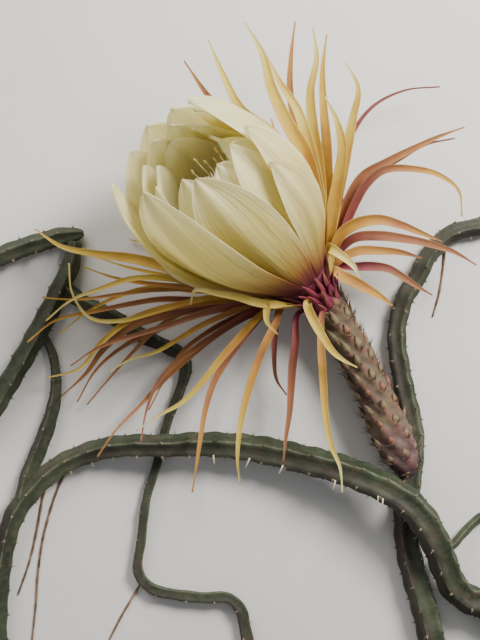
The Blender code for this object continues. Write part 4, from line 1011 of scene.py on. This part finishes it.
def add_sepal(shape, rng, widest, tone, tip_tone, *points):
    """A narrow channelled sepal on the part's own route, with rolled edges and a fine curled tip."""
    middle, sides, along = sepal_spine(widest, points)
    half = np.array([fine_half_width(x, widest) for x in along])
    tangents = unit(np.gradient(middle, axis=0))
    sides = unit(sides - (sides * tangents).sum(axis=1)[:, None] * tangents)
    faces = np.cross(sides, tangents)
    phase, lean = rng.uniform(0, 6.3), rng.uniform(-0.5, 0.5)
    depth = SEPAL_DEPTH * (0.45 + 0.55 * half / widest) * 0.62
    q, under = SEPAL_ACROSS, SEPAL_UNDER
    sway = (lean * half * np.sin(9 * along + phase))[:, None] * 0.22
    channel = 0.42 * half[:, None] * (q**2 - 0.45) + sway * q
    keel = 0.42 * half[:, None] * (under**2 - 0.45) - (0.12 + depth[:, None] * (1 - under**2) ** 0.7)
    top = sheet(middle, half, q, sides, channel, faces)
    rings = np.concatenate([top, sheet(middle, half, under, sides, keel, faces)], axis=1)
    rings[..., 2] = np.maximum(rings[..., 2], SURFACE_GAP)
    drift = np.clip((along - 0.35) / 0.6, 0, 1)[:, None] ** 1.4
    tones = tone + (tip_tone - tone) * drift
    shape.skin(rings, along, np.concatenate([q, under * 0.8]), tones)


def make_sepals():
    rng = random.Random(14)
    shape = Shape()
    for sepal in SEPALS:
        add_sepal(shape, rng, *sepal)
    add_collar(shape, rng)
    shape.piece("sepals_fine", "sepals", "sepal_amber", "sepal", "collar")


def add_collar(shape, rng):
    """The ring under the sepals, ribbed where they run into it, with short bracts all round it."""
    profile = [(-14.0, 8.4), (-13.0, 8.9), (-10.0, 9.2), (-6.0, 9.5), (-3.0, 9.7), (-2.0, 9.2)]
    shape.skin(axis_rings(profile, 96, 0.02, 24), finish=1)
    for foot, radius, count, long in BRACT_ROWS:
        for k in range(count):
            turn = 2 * pi * (k + rng.uniform(-0.25, 0.25)) / count + foot
            add_bract(shape, rng, foot, radius, spoke(turn), long * rng.uniform(0.7, 1.2))


def add_bract(shape, rng, foot, radius, radial, length):
    """A short pointed bract that stands off the collar and follows the foot of the cup."""
    across = np.cross(AXIS, radial)
    x = np.linspace(0, 1, 13)
    lean = np.radians(20 + rng.uniform(8, 26) * x)
    step = length / 12
    sway = rng.uniform(-1, 1) * 0.12 * length * x**2
    out, along = summed(radius, np.sin(lean) * step), summed(foot, np.cos(lean) * step)
    centres, normals = leaf_line(out, along, lean, radial)
    centres += sway[:, None] * across + 0.3 * normals
    half = rng.uniform(0.9, 1.5) * np.sin(pi * (0.3 + 0.7 * x)) ** 0.9 + 0.08
    tone = rng.uniform(0.45, 0.75)
    shape.bract(centres, half, SEPAL_ACROSS, across, normals, 0.35, 0.4, along=0.02 + 0.10 * x, tone=tone)


# ------------------------------ petals

PETAL_ACROSS = 24
PETAL_THICKNESS = (0.55, 0.22)  # in the middle and at the edge
# turn of the outer petal that faces the light: painted whitest there, and yellower away from it as painted
# shade
LIT_WHITEST_TURN = 20


def petal_half_width(x, widest):
    swell = 0.28 + 0.72 * np.sin(pi / 2 * np.minimum(1.0, x / 0.66)) ** 1.2
    taper = np.clip((x - 0.64) / 0.36, 0, 1)
    return np.maximum(0.3, widest * swell * (1 - taper**2.2) ** 0.78)


def petal_relief(x, q, share, looks):
    """Height that only the looks add: a soft keel, low folds and a frilled, slightly turned edge."""
    second, third, keel, turned_out = looks
    rise = keel * x * (1.15 - x) * 3 * np.exp(-((q / 0.16) ** 2))
    rise = rise + 0.55 * x * np.sin(6.5 * q + second + 2.5 * x)
    rise += 0.10 * x**2 * np.sin(17 * q + third + 4 * x)
    rise += 0.45 * share * x**2 * np.abs(q) ** 5 * np.sin(19 * x + third)
    rolled = np.where(q > 0, 1.0, 0.3) * np.abs(q) ** 6
    return rise + turned_out * share * np.clip((x - 0.3) / 0.5, 0, 1) * rolled


def add_petal(shape, profile, turn, widest, phase, looks, tone, paleness=0.0):
    """One petal on its own curve, wrapped round the cup, thin at its rim."""
    radial = spoke(radians(turn))
    radius, along, lean = profile.T
    x = np.linspace(0, 1, len(profile))
    centres, normals = leaf_line(radius, along, lean, radial)
    half = petal_half_width(x, widest)
    q = np.sin(np.linspace(-1, 1, PETAL_ACROSS + 1) * pi / 2)
    wrap = np.maximum(16.0, 0.95 * radius + 4)[:, None]
    share, far = half[:, None] / widest, x[:, None]
    rise = PINWHEEL_TILT * share * q * np.minimum(1.0, 2 * far)
    rise = rise - (wrap - np.sqrt(np.maximum(0.0, wrap**2 - (q * half[:, None]) ** 2)))
    rise += share * 0.8 * far * np.sin(5 * far + phase) * q**2
    rise += petal_relief(far, q, share, looks)
    surface = sheet(centres, half, q, np.cross(AXIS, radial), rise, normals)
    thick = PETAL_THICKNESS[1] + (PETAL_THICKNESS[0] - PETAL_THICKNESS[1]) * (1 - np.abs(q) ** 3)
    offset = (0.5 * thick)[:, None] * normals[:, None]
    rings = np.concatenate([(surface + offset)[:, ::-1], surface - offset], axis=1)
    shape.skin(rings, paleness + (1 - paleness) * x, np.concatenate([q[::-1], q]), tone)


def make_petals():
    rng = random.Random(11)
    looks = random.Random(31)
    outer, inner = Shape(), Shape()

    def add(shape, profile, turn, widest, *tones):
        phase = rng.uniform(0, 2 * pi)
        own = [looks.uniform(low, high) for low, high in ((0, 6.3), (0, 6.3), (0.4, 1.1), (0.8, 2.4))]
        add_petal(shape, profile, turn, widest, phase, own, *tones)

    def add_whorl(shape, foot_radius, girth, paleness, petals):
        for turn, length, widest, end_lean in petals:
            profile = cup_profile(length, foot_radius, girth, (start_lean(turn), end_lean))
            # outer petals: partly their own yellow, painted whitest towards the light and yellower away from
            # it as painted shade
            outer_tone_and_shade = 0.36 - 0.32 * cos(radians(turn - LIT_WHITEST_TURN))
            add(shape, profile, turn, widest, 0.05 if paleness else outer_tone_and_shade, paleness)

    add_whorl(outer, *WHORLS[0])
    for turn, length, widest in FLANK_PETALS:
        profile = cup_side(turn)[: length + 1]
        lift = FLANK_LIFT * np.minimum(1.0, np.arange(length + 1) / FLANK_RISE)
        profile[:, 0] += lift * np.cos(profile[:, 2])
        profile[:, 1] -= lift * np.sin(profile[:, 2])
        add(outer, profile, turn, widest, 0.45)
    for whorl in WHORLS[1:]:
        add_whorl(inner, *whorl)
    # the base of the cup, which all the petals grow from
    rings = axis_rings([(-1.7, 9.2), (0.0, 10.2), (3.0, 12.2), (6.0, 13.8)], 80, 0.012, 22)
    outer.skin(rings, along=0.03 + 0.05 * np.linspace(0, 1, 4), tone=0.1)
    outer.piece("petals_outer", "petals", "petal_cream", "petal")
    inner.piece("petals_inner", "petals", "petal_cream", "petal")


# ------------------------------ stamens and pistil

CUP_FLOOR = 6.3  # along the axis
STAMEN_COUNT = 150
GOLDEN_TURN = 0.381966
STIGMA_LOBES = 16


def make_stamens():
    rng = random.Random(3)
    shape = Shape()
    inside, outside = STAMEN_RING
    top = CUP_FLOOR + STAMEN_RING_DEPTH
    profile = [(CUP_FLOOR, inside), (CUP_FLOOR, outside), (top, outside - 0.3), (top, inside + 0.3)]
    shape.skin(axis_rings([*profile, profile[0]], 36), along=0.0, caps=(False, False))
    u = np.linspace(-1, 1, 7)
    for k in range(STAMEN_COUNT):
        depth = (k + 0.5) / STAMEN_COUNT
        radial = spoke(2 * pi * k * GOLDEN_TURN)
        tangential = np.cross(AXIS, radial)
        length = 42 + 27 * depth + rng.uniform(-4, 3)
        lean = radians(19 - 8 * depth)
        start = RECEPTACLE + (CUP_FLOOR + 0.5) * AXIS + (inside + 4.4 - 3 * depth) * radial
        knee = start + 0.4 * length * (cos(lean) * AXIS + sin(lean) * radial)
        late = lean * 0.35
        tip = knee + 0.6 * length * (cos(late) * AXIS + sin(late) * radial)
        centres = smooth_route([start, knee + rng.uniform(-1, 1) * tangential, tip], length / 10)
        shape.skin(tube_rings(centres, 0.24, 5))
        way = unit(tip - knee + 6 * rng.uniform(-1, 1) * tangential)
        anther = tube_rings(tip + 1.7 * u[:, None] * way, 0.62 * np.sqrt(1.02 - u**2), 7, free=True)
        shape.skin(anther, tone=1.0)
    shape.piece("stamens_fine", "stamens", "stamen_yellow", "stamen")


def make_pistil():
    rng = random.Random(4)
    shape = Shape()
    foot, top = CUP_FLOOR, CUP_FLOOR + STYLE_LENGTH
    profile = [(foot, STYLE_RADIUS + 0.5), (foot + 3, STYLE_RADIUS + 0.2), (foot + 8, STYLE_RADIUS)]
    profile += [(foot + 8 + (top - 14 - foot) * k / 10, STYLE_RADIUS) for k in range(1, 11)]
    profile += [(top - 3, STYLE_RADIUS + 0.3), (top - 0.6, STYLE_RADIUS + 0.7), (top, STYLE_RADIUS + 0.4)]
    shape.skin(axis_rings(profile, 20, 0.04, 6))
    start = RECEPTACLE + (top - 1.2) * AXIS
    u = np.linspace(0, 1, 9)[:, None]
    for angle in turns(STIGMA_LOBES):
        radial = spoke(angle)
        way = unit(0.78 * AXIS + 0.62 * radial)
        reach = STIGMA_REACH * rng.uniform(0.82, 0.98)
        centres = start + reach * (u * way + 0.16 * u**2 * (radial - 0.5 * AXIS))
        rings = tube_rings(centres, 0.52 * (1 - 0.75 * u[:, 0] ** 2.5), 7, free=True)
        shape.skin(rings, along=0.6 + 0.4 * u)
    shape.piece("pistil_fine", "pistil", "pistil_cream", "pistil")


# ------------------------------ floor, light and camera, in metres

FLOOR_SIZE = 6.0
BLOOM = (-0.08, 0.11, 0.03)
WARM_WHITE = (1.0, 0.985, 0.95)
SKY = (0.92, 0.95, 1.0, 1)
SKY_STRENGTH = 0.33
CAMERA_PLACE = (-0.082, 0.0724, 0.55)
VIEW_ANGLE = radians(31.4)  # of the photograph's height


def add_lamp(name, place, size, watts):
    """A round soft light that faces the bloom."""
    light = bpy.data.lights.new(name, "AREA")
    light.shape = "DISK"
    light.size = size
    light.energy = watts
    light.color = WARM_WHITE
    lamp = bpy.data.objects.new(name, light)
    lamp.location = place
    lamp.rotation_euler = (Vector(BLOOM) - Vector(place)).to_track_quat("-Z", "Y").to_euler()
    link(lamp)


def make_stage():
    bpy.ops.mesh.primitive_plane_add(size=FLOOR_SIZE, location=(-0.08, 0.07, 0))
    floor = bpy.context.object
    floor.name = "floor"
    floor.data.materials.append(floor_finish())
    add_lamp("key", (0.34, 0.48, 0.52), 0.30, 12.0)
    add_lamp("fill", (-0.45, 0.85, 0.47), 0.8, 9.0)
    world = bpy.data.worlds.new("studio")
    world.use_nodes = True
    background = world.node_tree.nodes["Background"]
    background.inputs["Color"].default_value = SKY
    background.inputs["Strength"].default_value = SKY_STRENGTH
    bpy.context.scene.world = world


def make_camera():
    data = bpy.data.cameras.new("camera")
    data.sensor_fit = "VERTICAL"
    data.angle = VIEW_ANGLE
    data.clip_start = 0.01
    camera = bpy.data.objects.new("camera", data)
    camera.location = CAMERA_PLACE
    link(camera)
    bpy.context.scene.camera = camera


make_stems()
make_aerial_roots()
make_flower_tube()
make_sepals()
make_petals()
make_stamens()
make_pistil()
make_stage()
make_camera()
